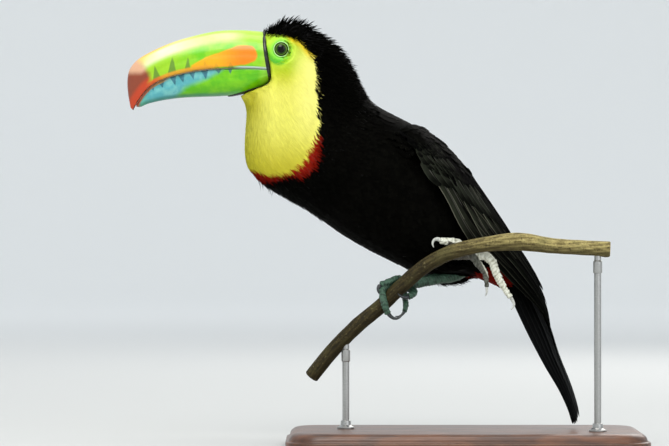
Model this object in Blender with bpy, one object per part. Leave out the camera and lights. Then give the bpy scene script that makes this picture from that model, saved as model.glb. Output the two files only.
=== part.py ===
"""A keel-billed toucan, life size, gripping a short length of branch on a display stand.

The bird faces -X and stands behind the branch, so its left side is the -Y side. Z is up, in
metres. The origin is the centre of the underside of the stand's base.

Soft masses are lofts: each station has a point on the upper outline, a point on the lower
outline and a half width, and a smooth curve runs through the stations.
"""

import math
from dataclasses import dataclass

import bmesh
import bpy
from mathutils import Matrix, Vector
from mathutils.bvhtree import BVHTree

# ---------------------------------------------------------------- driving dimensions

MIDLINE_Y = 0.022  # the bird's plane of symmetry, behind the middle of the base
GAP = 0.0003  # between pieces that touch
PERCH_RADIUS = 0.0064
PERCH_KNOT_RADIUS = 0.0077
CLAW_TIP_RADIUS = 0.0004
TOE_PAD = 0.0002  # how far each joint's pad swells a toe
EYEBALL_RADIUS = 0.0080
EYE_CENTRE = Vector((-0.1540, 0.0162, 0.3308))  # Y is its distance from the midline
BASE_LENGTH = 0.300
BASE_DEPTH = 0.160
BASE_THICKNESS = 0.014
BASE_CORNER_RADIUS = 0.030
ROD_RADIUS = 0.0030

BODY_SIDES = 24
BILL_SIDES = 13
TUBE_SIDES = 7
TOE_RINGS = 8
CLAW_RINGS = 6
LEG_RINGS = 9
PERCH_SIDES = 10


@dataclass(frozen=True)
class Station:
    """One cross-section of a loft: its two outline points in the X-Z plane and its half width."""

    upper: tuple
    lower: tuple
    half_width: float


# From the forehead, over the crown and down the back; below it, from the chin to the vent.
HEAD_TO_VENT = [
    Station((-0.1688, 0.3462), (-0.1890, 0.2925), 0.0190),  # face, at the bill's base
    Station((-0.1590, 0.3545), (-0.1832, 0.2815), 0.0220),  # forehead and chin
    Station((-0.1460, 0.3575), (-0.1838, 0.2665), 0.0250),  # crown, over the eye
    Station((-0.1320, 0.3535), (-0.1846, 0.2530), 0.0280),  # back of the crown
    Station((-0.1172, 0.3440), (-0.1842, 0.2395), 0.0310),  # nape
    Station((-0.1026, 0.3305), (-0.1795, 0.2265), 0.0345),  # upper neck, foot of the bib
    Station((-0.0915, 0.3115), (-0.1690, 0.2160), 0.0385),  # lower neck
    Station((-0.0815, 0.2925), (-0.1525, 0.2060), 0.0425),  # neck's base and breast
    Station((-0.0640, 0.2785), (-0.1318, 0.1945), 0.0455),  # shoulders
    Station((-0.0435, 0.2680), (-0.1092, 0.1780), 0.0465),  # mantle
    Station((-0.0235, 0.2520), (-0.0865, 0.1642), 0.0450),  # back
    Station((-0.0050, 0.2327), (-0.0648, 0.1532), 0.0420),
    Station((0.0092, 0.2092), (-0.0428, 0.1430), 0.0360),  # belly
    Station((0.0202, 0.1865), (-0.0210, 0.1390), 0.0290),
    Station((0.0294, 0.1663), (-0.0005, 0.1400), 0.0220),  # vent
    Station((0.0378, 0.1478), (0.0193, 0.1345), 0.0160),  # tail coverts
    Station((0.0462, 0.1310), (0.0361, 0.1262), 0.0095),
]
LAST_HEAD_STATION = 3.4  # the head ends between these stations, and the neck below
LAST_NECK_STATION = 6.6
BODY_RINGS_PER_STATION = 3

# The upper half of the bill: its ridge above and its cutting edge below, base to hooked tip.
UPPER_BILL = [
    Station((-0.1693, 0.3465), (-0.1634, 0.3142), 0.0190),
    Station((-0.1882, 0.3478), (-0.1814, 0.3154), 0.0186),
    Station((-0.2075, 0.3471), (-0.2008, 0.3152), 0.0176),
    Station((-0.2268, 0.3432), (-0.2201, 0.3140), 0.0162),
    Station((-0.2461, 0.3374), (-0.2386, 0.3106), 0.0142),
    Station((-0.2629, 0.3301), (-0.2537, 0.3058), 0.0118),
    Station((-0.2747, 0.3231), (-0.2642, 0.2999), 0.0095),
    Station((-0.2814, 0.3152), (-0.2705, 0.2932), 0.0075),
    Station((-0.2834, 0.3058), (-0.2747, 0.2877), 0.0055),
    Station((-0.2828, 0.2940), (-0.2780, 0.2836), 0.0036),
    Station((-0.2806, 0.2830), (-0.2796, 0.2812), 0.0014),
]

# The lower half of the bill: its cutting edge above and its underside below.
LOWER_BILL = [
    Station((-0.1629, 0.3136), (-0.1624, 0.3045), 0.0180),
    Station((-0.1705, 0.3142), (-0.1722, 0.2992), 0.0178),
    Station((-0.1823, 0.3148), (-0.1856, 0.2945), 0.0170),
    Station((-0.2008, 0.3146), (-0.2024, 0.2925), 0.0156),
    Station((-0.2201, 0.3134), (-0.2201, 0.2918), 0.0138),
    Station((-0.2386, 0.3100), (-0.2377, 0.2910), 0.0115),
    Station((-0.2530, 0.3054), (-0.2537, 0.2890), 0.0088),
    Station((-0.2630, 0.2997), (-0.2646, 0.2865), 0.0063),
    Station((-0.2692, 0.2932), (-0.2713, 0.2842), 0.0042),
    Station((-0.2732, 0.2870), (-0.2737, 0.2850), 0.0015),
]
BILL_RINGS_PER_STATION = 2
BILL_FULLNESS = 0.80  # under 1 makes the bill's sides flatter and its ridge broader

# The face's edge behind the bill, from over the forehead down to the chin, in X and Z.
FACE_EDGE = [
    (-0.1700, 0.3640),
    (-0.1688, 0.3468),
    (-0.1625, 0.3139),
    (-0.1620, 0.3042),
    (-0.1664, 0.3004),
    (-0.1722, 0.2986),
    (-0.1856, 0.2938),
    (-0.2100, 0.2920),
    (-0.2100, 0.3640),
]


@dataclass(frozen=True)
class WingStation:
    """One cross-section of a folded wing: its lower and upper edges as X, distance out and Z.

    The distance out from the midline is a least one: where the body is wider the wing lies on it.
    """

    lower: tuple
    upper: tuple
    thickness: float


FOLDED_WING = [
    WingStation((-0.0580, 0.0300, 0.2625), (-0.0480, 0.0200, 0.2695), 0.0035),  # wrist
    WingStation((-0.0455, 0.0380, 0.2480), (-0.0346, 0.0090, 0.2670), 0.0060),
    WingStation((-0.0336, 0.0420, 0.2285), (-0.0180, 0.0080, 0.2540), 0.0075),
    WingStation((-0.0210, 0.0420, 0.2090), (-0.0022, 0.0075, 0.2380), 0.0080),
    WingStation((-0.0085, 0.0390, 0.1850), (0.0128, 0.0070, 0.2175), 0.0075),
    WingStation((0.0042, 0.0330, 0.1655), (0.0255, 0.0070, 0.1985), 0.0070),
    WingStation((0.0227, 0.0275, 0.1478), (0.0395, 0.0075, 0.1765), 0.0060),
    WingStation((0.0395, 0.0230, 0.1294), (0.0525, 0.0080, 0.1545), 0.0050),
    WingStation((0.0563, 0.0185, 0.1126), (0.0645, 0.0085, 0.1310), 0.0038),
    WingStation((0.0672, 0.0155, 0.1008), (0.0708, 0.0090, 0.1125), 0.0026),
    WingStation((0.0715, 0.0130, 0.0958), (0.0724, 0.0115, 0.0972), 0.0012),
]
WING_BOW = 0.0070  # how far the middle of a wing's section stands out from its edges
WING_REST = 0.0006  # between a wing and the body it lies on
WING_RINGS_PER_STATION = 2
WING_STEPS = 6


@dataclass(frozen=True)
class TailStation:
    """One cross-section of the closed tail: its ridge in the X-Z plane and its size."""

    ridge: tuple
    half_width: float
    arch: float
    thickness: float


CLOSED_TAIL = [
    TailStation((0.0440, 0.1535), 0.0120, 0.0070, 0.0060),  # root
    TailStation((0.0560, 0.1260), 0.0170, 0.0095, 0.0055),
    TailStation((0.0665, 0.0990), 0.0200, 0.0115, 0.0045),
    TailStation((0.0760, 0.0745), 0.0210, 0.0120, 0.0038),
    TailStation((0.0850, 0.0510), 0.0195, 0.0105, 0.0030),
    TailStation((0.0925, 0.0315), 0.0150, 0.0075, 0.0024),
    TailStation((0.0962, 0.0222), 0.0090, 0.0040, 0.0016),
]
TAIL_RINGS_PER_STATION = 2
TAIL_STEPS = 6

# The branch's centre line, low and far on the left to high and near on the right.
PERCH_LINE = [
    (-0.1290, 0.0180, 0.0570),
    (-0.1110, 0.0120, 0.0795),
    (-0.0899, 0.0060, 0.1008),
    (-0.0714, 0.0015, 0.1162),
    (-0.0580, -0.0035, 0.1294),
    (-0.0428, -0.0100, 0.1436),
    (-0.0269, -0.0170, 0.1550),
    (-0.0076, -0.0240, 0.1634),
    (0.0160, -0.0290, 0.1684),
    (0.0420, -0.0320, 0.1705),
    (0.0697, -0.0340, 0.1672),
    (0.0966, -0.0360, 0.1655),
    (0.1175, -0.0380, 0.1647),
]
PERCH_KNOT_STATION = 9.0
PERCH_KNOT_LENGTH = 0.7
PERCH_RINGS_PER_STATION = 2


@dataclass(frozen=True)
class Toe:
    """A toe and its claw, as points given by where they lie along and round the branch.

    Each point is a fractional station on PERCH_LINE, a turn in degrees (0 is the branch's upper
    side, 90 its far side, 180 its underside) and a distance off the bark. The toe starts at the
    palm and the claw at the toe's end.
    """

    path: tuple
    claw: tuple
    radii: tuple  # of the toe at its root, its knuckle and its end


PALMS = {"left": (7.40, 128.0, 0.0046), "right": (4.15, 98.0, 0.0036)}
PALM_RADIUS = 0.0040

TOES = {
    "left": {
        "1": Toe(
            ((7.49, 145, 0.0099), (7.64, 152, 0.0151), (7.74, 156, 0.0204), (7.72, 160, 0.0259),
             (7.68, 162, 0.0303)),
            ((7.67, 164, 0.0333), (7.63, 165, 0.0356), (7.57, 166, 0.0375)),
            (0.0034, 0.0024, 0.0017),
        ),
        "2": Toe(
            ((7.19, 107, 0.0044), (7.01, 88, 0.0034), (6.79, 79, 0.0028), (6.54, 80, 0.0026)),
            ((6.38, 82, 0.0028), (6.22, 88, 0.0022), (6.12, 103, 0.0014)),
            (0.0030, 0.0026, 0.0021),
        ),
        "3": Toe(
            ((7.21, 100, 0.0050), (7.02, 66, 0.0048), (6.83, 42, 0.0046), (6.60, 22, 0.0050),
             (6.51, 13, 0.0066)),
            ((6.44, 7, 0.0086), (6.33, 1, 0.0088), (6.24, -4, 0.0064), (6.24, -8, 0.0033)),
            (0.0029, 0.0033, 0.0026),
        ),
        "4": Toe(
            ((7.62, 128, 0.0062), (7.92, 139, 0.0074), (8.09, 151, 0.0118), (8.13, 158, 0.0192),
             (8.25, 162, 0.0267), (8.40, 164, 0.0340), (8.60, 165, 0.0401)),
            ((8.73, 165, 0.0437), (8.78, 166, 0.0471), (8.58, 167, 0.0507)),
            (0.0040, 0.0034, 0.0022),
        ),
    },
    "right": {
        "1": Toe(
            ((4.00, 120, 0.0062), (3.85, 143, 0.0078), (3.73, 162, 0.0090), (3.58, 175, 0.0104)),
            ((3.42, 180, 0.0110), (3.28, 184, 0.0102), (3.19, 189, 0.0080)),
            (0.0028, 0.0025, 0.0020),
        ),
        "2": Toe(
            ((3.98, 60, 0.0032), (3.71, -7, 0.0030), (3.53, -46, 0.0029), (3.41, -81, 0.0034),
             (3.24, -109, 0.0038), (3.14, -134, 0.0047)),
            ((3.12, -146, 0.0073), (3.17, -154, 0.0108), (3.33, -159, 0.0124), (3.51, -162, 0.0119)),
            (0.0027, 0.0029, 0.0027),
        ),
        "3": Toe(
            ((4.30, 74, 0.0046), (4.33, 49, 0.0034), (4.16, 23, 0.0030), (3.92, 3, 0.0043),
             (3.71, -7, 0.0067)),
            ((3.54, -17, 0.0062), (3.46, -32, 0.0038), (3.48, -60, 0.0014)),
            (0.0029, 0.0025, 0.0029),
        ),
        "4": Toe(
            ((4.31, 124, 0.0060), (4.39, 145, 0.0062), (4.35, 172, 0.0052), (4.22, 195, 0.0044)),
            ((4.14, 214, 0.0041), (4.08, 234, 0.0032), (4.08, 256, 0.0022)),
            (0.0030, 0.0031, 0.0026),
        ),
    },
}


@dataclass(frozen=True)
class LowerLeg:
    """The bare shank: points from the ankle on, as X, Y and Z, before it reaches the palm."""

    line: tuple
    radii: tuple  # at the ankle, at the middle and at the palm


LOWER_LEGS = {
    "left": LowerLeg(
        ((-0.0240, 0.0020, 0.1575), (-0.0100, -0.0070, 0.1590)),
        (0.0038, 0.0037, 0.0040),
    ),
    "right": LowerLeg(
        (
            (0.0045, 0.0240, 0.1490),
            (-0.0025, 0.0215, 0.1436),
            (-0.0109, 0.0180, 0.1408),
            (-0.0235, 0.0140, 0.1394),
            (-0.0336, 0.0105, 0.1372),
            (-0.0445, 0.0075, 0.1346),
        ),
        (0.0036, 0.0046, 0.0033),
    ),
}


@dataclass(frozen=True)
class Thigh:
    """A feathered thigh: an egg shape with its centre, half lengths and pitch in degrees."""

    centre: tuple
    half_lengths: tuple
    pitch: float


THIGHS = {
    "left": Thigh((-0.0200, 0.0040, 0.1570), (0.0270, 0.0130, 0.0140), 8.0),
    "right": Thigh((-0.0160, 0.0350, 0.1475), (0.0260, 0.0140, 0.0150), 6.0),
}

ROD_FEET_X = {"stand_rod_front": -0.1000, "stand_rod_back": 0.1070}

# ---------------------------------------------------------------- materials


@dataclass(frozen=True)
class Finish:
    """The plain colour and gloss of one kind of surface."""

    colour: tuple
    roughness: float


FINISHES = {
    "plumage_black": Finish((0.012, 0.012, 0.014), 0.65),
    "face_yellow": Finish((0.78, 0.76, 0.16), 0.60),
    "bill_upper": Finish((0.32, 0.66, 0.07), 0.30),
    "bill_lower": Finish((0.14, 0.52, 0.25), 0.30),
    "eye": Finish((0.02, 0.03, 0.01), 0.08),
    "leg_skin": Finish((0.30, 0.42, 0.42), 0.60),
    "claw": Finish((0.10, 0.11, 0.12), 0.35),
    "bark": Finish((0.22, 0.15, 0.08), 0.85),
    "stand_wood": Finish((0.13, 0.08, 0.05), 0.45),
    "stand_metal": Finish((0.35, 0.35, 0.36), 0.35),
}


def make_materials():
    """Makes one Principled material for each finish."""
    made = {}
    for name, finish in FINISHES.items():
        material = bpy.data.materials.new(name)
        material.use_nodes = True
        shader = material.node_tree.nodes["Principled BSDF"]
        shader.inputs["Base Color"].default_value = (*finish.colour, 1.0)
        shader.inputs["Roughness"].default_value = finish.roughness
        shader.inputs["Metallic"].default_value = 0.9 if name == "stand_metal" else 0.0
        made[name] = material
    return made


# ---------------------------------------------------------------- curves and lofts


def smooth_value(values, at):
    """The value at a fractional index of a list, on a smooth curve through its values."""
    last = len(values) - 1
    low = min(int(at), last - 1)
    share = at - low
    before, start = values[max(low - 1, 0)], values[low]
    end, after = values[low + 1], values[min(low + 2, last)]
    return 0.5 * (
        2 * start
        + (end - before) * share
        + (2 * before - 5 * start + 4 * end - after) * share**2
        + (3 * start - before - 3 * end + after) * share**3
    )


def smooth_point(points, at):
    """The point at a fractional index of a list of points, on a smooth curve through them."""
    return Vector([smooth_value([p[axis] for p in points], at) for axis in range(len(points[0]))])


def steps_between(first, last, per_station):
    """Fractional indices from first to last, about per_station of them to each whole step."""
    count = max(2, round((last - first) * per_station))
    return [first + (last - first) * i / count for i in range(count + 1)]


def section_of(stations, at):
    """The upper point, lower point and half width of a loft at a fractional station."""
    upper = smooth_point([s.upper for s in stations], at)
    lower = smooth_point([s.lower for s in stations], at)
    half_width = smooth_value([s.half_width for s in stations], at)
    return Vector((upper.x, 0, upper.y)), Vector((lower.x, 0, lower.y)), half_width


def oval_ring(upper, lower, half_width):
    """A closed oval through both outline points, BODY_SIDES points round."""
    centre, reach = (upper + lower) / 2, (upper - lower) / 2
    ring = []
    for i in range(BODY_SIDES):
        turn = 2 * math.pi * i / BODY_SIDES
        ring.append(centre + reach * math.cos(turn) + Vector((0, half_width * math.sin(turn), 0)))
    return ring


def arched_ring(crown, edge, half_width):
    """Half an oval from one side of the edge, over the crown, to the other: the edge is flat."""
    ring = []
    for i in range(BILL_SIDES):
        turn = math.pi * (i / (BILL_SIDES - 1) - 0.5)
        rise = math.cos(turn) ** BILL_FULLNESS if abs(turn) < 0.4999 * math.pi else 0.0
        side = Vector((0, half_width * math.sin(turn), 0))
        ring.append(edge + (crown - edge) * rise + side)
    return ring


def mesh_object(name, points, faces, material, parent=None):
    """A smooth-shaded object from points and faces, its faces turned outwards."""
    mesh = bpy.data.meshes.new(name)
    mesh.from_pydata([tuple(p) for p in points], [], faces)
    work = bmesh.new()
    work.from_mesh(mesh)
    bmesh.ops.recalc_face_normals(work, faces=work.faces)
    bmesh.ops.triangulate(work, faces=work.faces)
    work.to_mesh(mesh)
    work.free()
    mesh.materials.append(material)
    mesh.shade_smooth()
    mesh.set_sharp_from_angle(angle=math.radians(50))
    made = bpy.data.objects.new(name, mesh)
    bpy.context.scene.collection.objects.link(made)
    made.parent = parent
    return made


def loft(name, rings, material, parent=None):
    """A closed body through rings of equally many points, with flat ends."""
    sides = len(rings[0])
    points = [p for ring in rings for p in ring]
    faces = []
    for k in range(len(rings) - 1):
        for i in range(sides):
            j = (i + 1) % sides
            faces.append((k * sides + i, k * sides + j, (k + 1) * sides + j, (k + 1) * sides + i))
    faces.append(tuple(range(sides)))
    faces.append(tuple((len(rings) - 1) * sides + i for i in range(sides)))
    return mesh_object(name, points, faces, material, parent)


def tube_rings(line, radii, sides):
    """Rings of the given radii round a line of points."""
    rings = []
    turned = None
    for i, point in enumerate(line):
        ahead = (line[min(i + 1, len(line) - 1)] - line[max(i - 1, 0)]).normalized()
        if turned is None:
            turned = ahead.orthogonal().normalized()
        turned = (turned - ahead * turned.dot(ahead)).normalized()
        beside = ahead.cross(turned)
        ring = []
        for k in range(sides):
            turn = 2 * math.pi * k / sides
            ring.append(point + radii[i] * (turned * math.cos(turn) + beside * math.sin(turn)))
        rings.append(ring)
    return rings


# ---------------------------------------------------------------- joining and cutting


def evaluated_copy(source, name, grow=0.0):
    """A separate copy of an object's shape, grown outwards by that much."""
    graph = bpy.context.evaluated_depsgraph_get()
    mesh = bpy.data.meshes.new_from_object(source.evaluated_get(graph))
    mesh.transform(source.matrix_world)
    work = bmesh.new()
    work.from_mesh(mesh)
    moves = [(v, v.normal * grow) for v in work.verts]
    for vertex, move in moves:
        vertex.co += move
    work.to_mesh(mesh)
    work.free()
    made = bpy.data.objects.new(name, mesh)
    bpy.context.scene.collection.objects.link(made)
    return made


def combine(target, other, operation):
    """Applies one Boolean to the target and removes the other object."""
    modifier = target.modifiers.new(operation.lower(), "BOOLEAN")
    modifier.operation = operation
    modifier.solver = "EXACT"
    modifier.object = other
    bpy.context.view_layer.update()
    graph = bpy.context.evaluated_depsgraph_get()
    mesh = bpy.data.meshes.new_from_object(target.evaluated_get(graph))
    target.modifiers.clear()
    target.data = mesh
    bpy.data.objects.remove(other)


def cut_clear(target, others, clearance=GAP):
    """Cuts the target back so that it stays clear of each other object, and drops the crumbs."""
    for other in others:
        combine(target, evaluated_copy(other, "cutter", clearance), "DIFFERENCE")
    keep_largest(target)


def keep_largest(target):
    """Removes every loose piece of the target but the one with the most vertices."""
    work = bmesh.new()
    work.from_mesh(target.data)
    unseen = set(work.verts)
    pieces = []
    while unseen:
        piece, edge = set(), [next(iter(unseen))]
        while edge:
            vertex = edge.pop()
            if vertex in piece:
                continue
            piece.add(vertex)
            edge.extend(e.other_vert(vertex) for e in vertex.link_edges)
        unseen -= piece
        pieces.append(piece)
    pieces.sort(key=len)
    crumbs = [v for piece in pieces[:-1] for v in piece]
    bmesh.ops.delete(work, geom=crumbs, context="VERTS")
    work.to_mesh(target.data)
    work.free()


# ---------------------------------------------------------------- the bird's masses


def body_length(name, first, last, material, bird):
    """The head, neck or trunk: the loft's stretch between two stations, less half a gap each end."""
    stretch = steps_between(first, last, BODY_RINGS_PER_STATION)
    rings = [oval_ring(*section_of(HEAD_TO_VENT, at)) for at in stretch]
    for ring, neighbour, is_cut in (
        (rings[0], rings[1], first > 0),
        (rings[-1], rings[-2], last < len(HEAD_TO_VENT) - 1),
    ):
        if is_cut:
            middle = sum(ring, Vector()) / len(ring)
            inward = (sum(neighbour, Vector()) / len(ring) - middle).normalized()
            for point in ring:
                point += inward * GAP / 2
    return loft(name, rings, material, bird)


def make_bill(name, stations, crown_is_upper, material, bird):
    """Half of the bill, arched on its outer side and flat where it meets the other half."""
    rings = []
    for at in steps_between(0, len(stations) - 1, BILL_RINGS_PER_STATION):
        upper, lower, half_width = section_of(stations, at)
        crown, edge = (upper, lower) if crown_is_upper else (lower, upper)
        rings.append(arched_ring(crown, edge, half_width))
    return loft(name, rings, material, bird)


def face_cutter():
    """The room in front of the face's edge, which the bill takes."""
    half_depth = 0.06
    near = [Vector((x, -half_depth, z)) for x, z in FACE_EDGE]
    far = [Vector((x, half_depth, z)) for x, z in FACE_EDGE]
    return loft("face_cutter", [near, far], bpy.data.materials["face_yellow"])


def make_eye(name, side, material, bird):
    """An eyeball, side -1 for the left eye and 1 for the right."""
    mesh = bpy.data.meshes.new(name)
    work = bmesh.new()
    bmesh.ops.create_uvsphere(work, u_segments=14, v_segments=8, radius=EYEBALL_RADIUS)
    work.to_mesh(mesh)
    work.free()
    mesh.materials.append(material)
    mesh.shade_smooth()
    eye = bpy.data.objects.new(name, mesh)
    bpy.context.scene.collection.objects.link(eye)
    eye.rotation_euler.x = math.radians(90)
    eye.location = (EYE_CENTRE.x, side * EYE_CENTRE.y, EYE_CENTRE.z)
    eye.parent = bird
    return eye


def make_wing(name, side, trunk, material, bird):
    """A folded wing: a blade with thin edges that lies against the trunk."""
    corners = [v.co for v in trunk.data.vertices]
    surface = BVHTree.FromPolygons(corners, [tuple(p.vertices) for p in trunk.data.polygons])
    rings = []
    for at in steps_between(0, len(FOLDED_WING) - 1, WING_RINGS_PER_STATION):
        lower = smooth_point([s.lower for s in FOLDED_WING], at)
        upper = smooth_point([s.upper for s in FOLDED_WING], at)
        thickness = smooth_value([s.thickness for s in FOLDED_WING], at)
        bow = WING_BOW * min(1.0, (upper - lower).length / 0.03)
        outer, inner = [], []
        for i in range(WING_STEPS + 1):
            across = i / WING_STEPS
            swell = 4 * across * (1 - across)
            here = lower.lerp(upper, across)
            inside = here.y + bow * swell
            body = surface.ray_cast(Vector((here.x, 0.1, here.z)), Vector((0, -1, 0)))[0]
            if body is not None:
                inside = max(inside, body.y + WING_REST)
            outside = inside + thickness * (0.24 + 0.76 * swell)
            outer.append(Vector((here.x, side * outside, here.z)))
            inner.append(Vector((here.x, side * inside, here.z)))
        rings.append(outer + inner[::-1])
    return loft(name, rings, material, bird)


def make_tail(material, bird):
    """The closed tail: a long arched blade, ridged along its middle."""
    ridge_line = [s.ridge for s in CLOSED_TAIL]
    rings = []
    for at in steps_between(0, len(CLOSED_TAIL) - 1, TAIL_RINGS_PER_STATION):
        here = smooth_point(ridge_line, at)
        ahead = smooth_point(ridge_line, min(at + 0.1, len(CLOSED_TAIL) - 1))
        back = smooth_point(ridge_line, max(at - 0.1, 0))
        along = (ahead - back).normalized()
        outward = Vector((-along.y, 0, along.x))  # square to the tail, on its upper side
        half_width = smooth_value([s.half_width for s in CLOSED_TAIL], at)
        arch = smooth_value([s.arch for s in CLOSED_TAIL], at)
        thickness = smooth_value([s.thickness for s in CLOSED_TAIL], at)
        top, underside = [], []
        for i in range(TAIL_STEPS + 1):
            across = 2 * i / TAIL_STEPS - 1
            point = Vector((here.x, half_width * across, here.y)) - outward * arch * across**2
            top.append(point)
            underside.append(point - outward * thickness * (1 - 0.6 * across**2))
        rings.append(top + underside[::-1])
    return loft("tail", rings, material, bird)


def make_thigh(name, thigh, material):
    """A feathered thigh beside the belly."""
    mesh = bpy.data.meshes.new(name)
    work = bmesh.new()
    bmesh.ops.create_uvsphere(work, u_segments=14, v_segments=9, radius=1.0)
    placed = (
        Matrix.Translation(thigh.centre)
        @ Matrix.Rotation(math.radians(thigh.pitch), 4, "Y")
        @ Matrix.Diagonal((*thigh.half_lengths, 1.0))
    )
    bmesh.ops.transform(work, matrix=placed, verts=work.verts)
    work.to_mesh(mesh)
    work.free()
    mesh.materials.append(material)
    mesh.shade_smooth()
    made = bpy.data.objects.new(name, mesh)
    bpy.context.scene.collection.objects.link(made)
    return made


# ---------------------------------------------------------------- perch, feet and claws


def perch_radius(at):
    """The branch's radius at a fractional station, thicker at its knot."""
    bump = math.exp(-(((at - PERCH_KNOT_STATION) / PERCH_KNOT_LENGTH) ** 2))
    return PERCH_RADIUS + (PERCH_KNOT_RADIUS - PERCH_RADIUS) * bump


def make_perch(material):
    """The cut length of branch that the toucan grips."""
    stretch = steps_between(0, len(PERCH_LINE) - 1, PERCH_RINGS_PER_STATION)
    line = [smooth_point(PERCH_LINE, at) for at in stretch]
    rings = tube_rings(line, [perch_radius(at) for at in stretch], PERCH_SIDES)
    return loft("perch", rings, material)


def beside_perch(at, turn, clearance):
    """A point that far off the branch's bark, at a station and a turn in degrees round it."""
    here = smooth_point(PERCH_LINE, at)
    ahead = smooth_point(PERCH_LINE, at + 0.1) - smooth_point(PERCH_LINE, at - 0.1)
    ahead.normalize()
    far = Vector((0, 1, 0))
    upper = ahead.cross(far).normalized()
    far = ahead.cross(upper).normalized()
    if far.y < 0:
        far.negate()
    spoke = upper * math.cos(math.radians(turn)) + far * math.sin(math.radians(turn))
    return here + spoke * (perch_radius(at) + clearance)


def resampled(line, count):
    """That many points along a smooth curve through a line's points."""
    return [smooth_point(line, (len(line) - 1) * i / (count - 1)) for i in range(count)]


def blended(values, share):
    """A value between the first, middle and last of three, at a share of the way along."""
    return smooth_value(values, share * (len(values) - 1))


def make_claw(name, line, root_radius, material):
    """A claw: a curved spike that starts a gap beyond its toe."""
    ahead = (line[1] - line[0]).normalized()
    line = resampled([line[0] + ahead * GAP, *line[1:]], CLAW_RINGS)
    radii = []
    for i in range(CLAW_RINGS):
        share = (i / (CLAW_RINGS - 1)) ** 1.3
        radii.append(root_radius + (CLAW_TIP_RADIUS - root_radius) * share)
    return loft(name, tube_rings(line, radii, 6), material)


def palm_and_toes(side, material, grow=0.0):
    """The rounded sole of a foot and its four tapered toes, as loose solids grown by that much."""
    palm = beside_perch(*PALMS[side])
    mesh = bpy.data.meshes.new("palm")
    work = bmesh.new()
    bmesh.ops.create_icosphere(work, subdivisions=2, radius=PALM_RADIUS + grow)
    bmesh.ops.translate(work, vec=palm, verts=work.verts)
    work.to_mesh(mesh)
    work.free()
    mesh.materials.append(material)
    solids = [bpy.data.objects.new("palm", mesh)]
    bpy.context.scene.collection.objects.link(solids[0])
    for toe in TOES[side].values():
        line = resampled([palm, *[beside_perch(*point) for point in toe.path]], TOE_RINGS)
        last = TOE_RINGS - 1
        pads = [TOE_PAD * math.cos(6 * math.pi * i / last) for i in range(TOE_RINGS)]
        radii = [blended(toe.radii, i / last) + pads[i] + grow for i in range(TOE_RINGS)]
        solids.append(loft("toe", tube_rings(line, radii, TUBE_SIDES), material))
    return solids


def make_foot(side, materials):
    """A foot of four toes joined at the palm, and its claws as separate pieces."""
    foot, *toes = palm_and_toes(side, materials["leg_skin"])
    foot.name = foot.data.name = f"foot_{side}"
    for toe in toes:
        combine(foot, toe, "UNION")
    claws = []
    for number, toe in TOES[side].items():
        line = [beside_perch(*point) for point in (toe.path[-1], *toe.claw)]
        name = f"claw_{side}_{number}"
        claws.append(make_claw(name, line, toe.radii[-1] * 0.82, materials["claw"]))
    cut_clear(foot, claws)
    return foot


def make_lower_leg(name, side, material, grow=0.0):
    """The bare lower leg, from the ankle to the palm, grown by that much."""
    leg = LOWER_LEGS[side]
    points = [*[Vector(p) for p in leg.line], beside_perch(*PALMS[side])]
    line = resampled(points, LEG_RINGS)
    if grow:
        line[0] += (line[0] - line[1]).normalized() * grow
    radii = [blended(leg.radii, i / (LEG_RINGS - 1)) + grow for i in range(LEG_RINGS)]
    return loft(name, tube_rings(line, radii, 10), material)


def cut_clear_of_foot(target, side, material, with_leg=True):
    """Cuts the target back from one foot, and from its leg too unless the target is that leg."""
    cutters = palm_and_toes(side, material, GAP)
    if with_leg:
        cutters.append(make_lower_leg("cutter", side, material, GAP))
    for cutter in cutters:
        combine(target, cutter, "DIFFERENCE")
    keep_largest(target)


# ---------------------------------------------------------------- stand


def make_base(material):
    """The stand's base: a thick board with round corners and eased edges."""
    corner_steps = 6
    outline = []
    for corner in range(4):
        right = 1 if corner in (0, 3) else -1
        far = 1 if corner in (0, 1) else -1
        centre = Vector((right * (BASE_LENGTH / 2 - BASE_CORNER_RADIUS), 0, 0))
        centre.y = far * (BASE_DEPTH / 2 - BASE_CORNER_RADIUS)
        for i in range(corner_steps + 1):
            turn = math.radians(90 * (corner + i / corner_steps))
            outline.append(centre + BASE_CORNER_RADIUS * Vector((math.cos(turn), math.sin(turn), 0)))
    ease = 0.0015
    rings = []
    for height, inset in ((0, 0), (BASE_THICKNESS - ease, 0), (BASE_THICKNESS, ease)):
        shrink = Vector((1 - 2 * inset / BASE_LENGTH, 1 - 2 * inset / BASE_DEPTH, 1))
        rings.append([p * shrink + Vector((0, 0, height)) for p in outline])
    return loft("stand_base", rings, material)


def perch_station_at(x):
    """The branch's fractional station at an X."""
    stretch = steps_between(0, len(PERCH_LINE) - 1, 60)
    return min(stretch, key=lambda at: abs(smooth_point(PERCH_LINE, at).x - x))


def make_rod(name, x, perch, material):
    """An upright rod from the base to the branch's underside."""
    top = smooth_point(PERCH_LINE, perch_station_at(x))
    line = [Vector((top.x, top.y, BASE_THICKNESS + GAP)), top]
    rod = loft(name, tube_rings(line, [ROD_RADIUS] * 2, 12), material)
    cut_clear(rod, [perch])
    return rod


# ---------------------------------------------------------------- assembly


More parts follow.
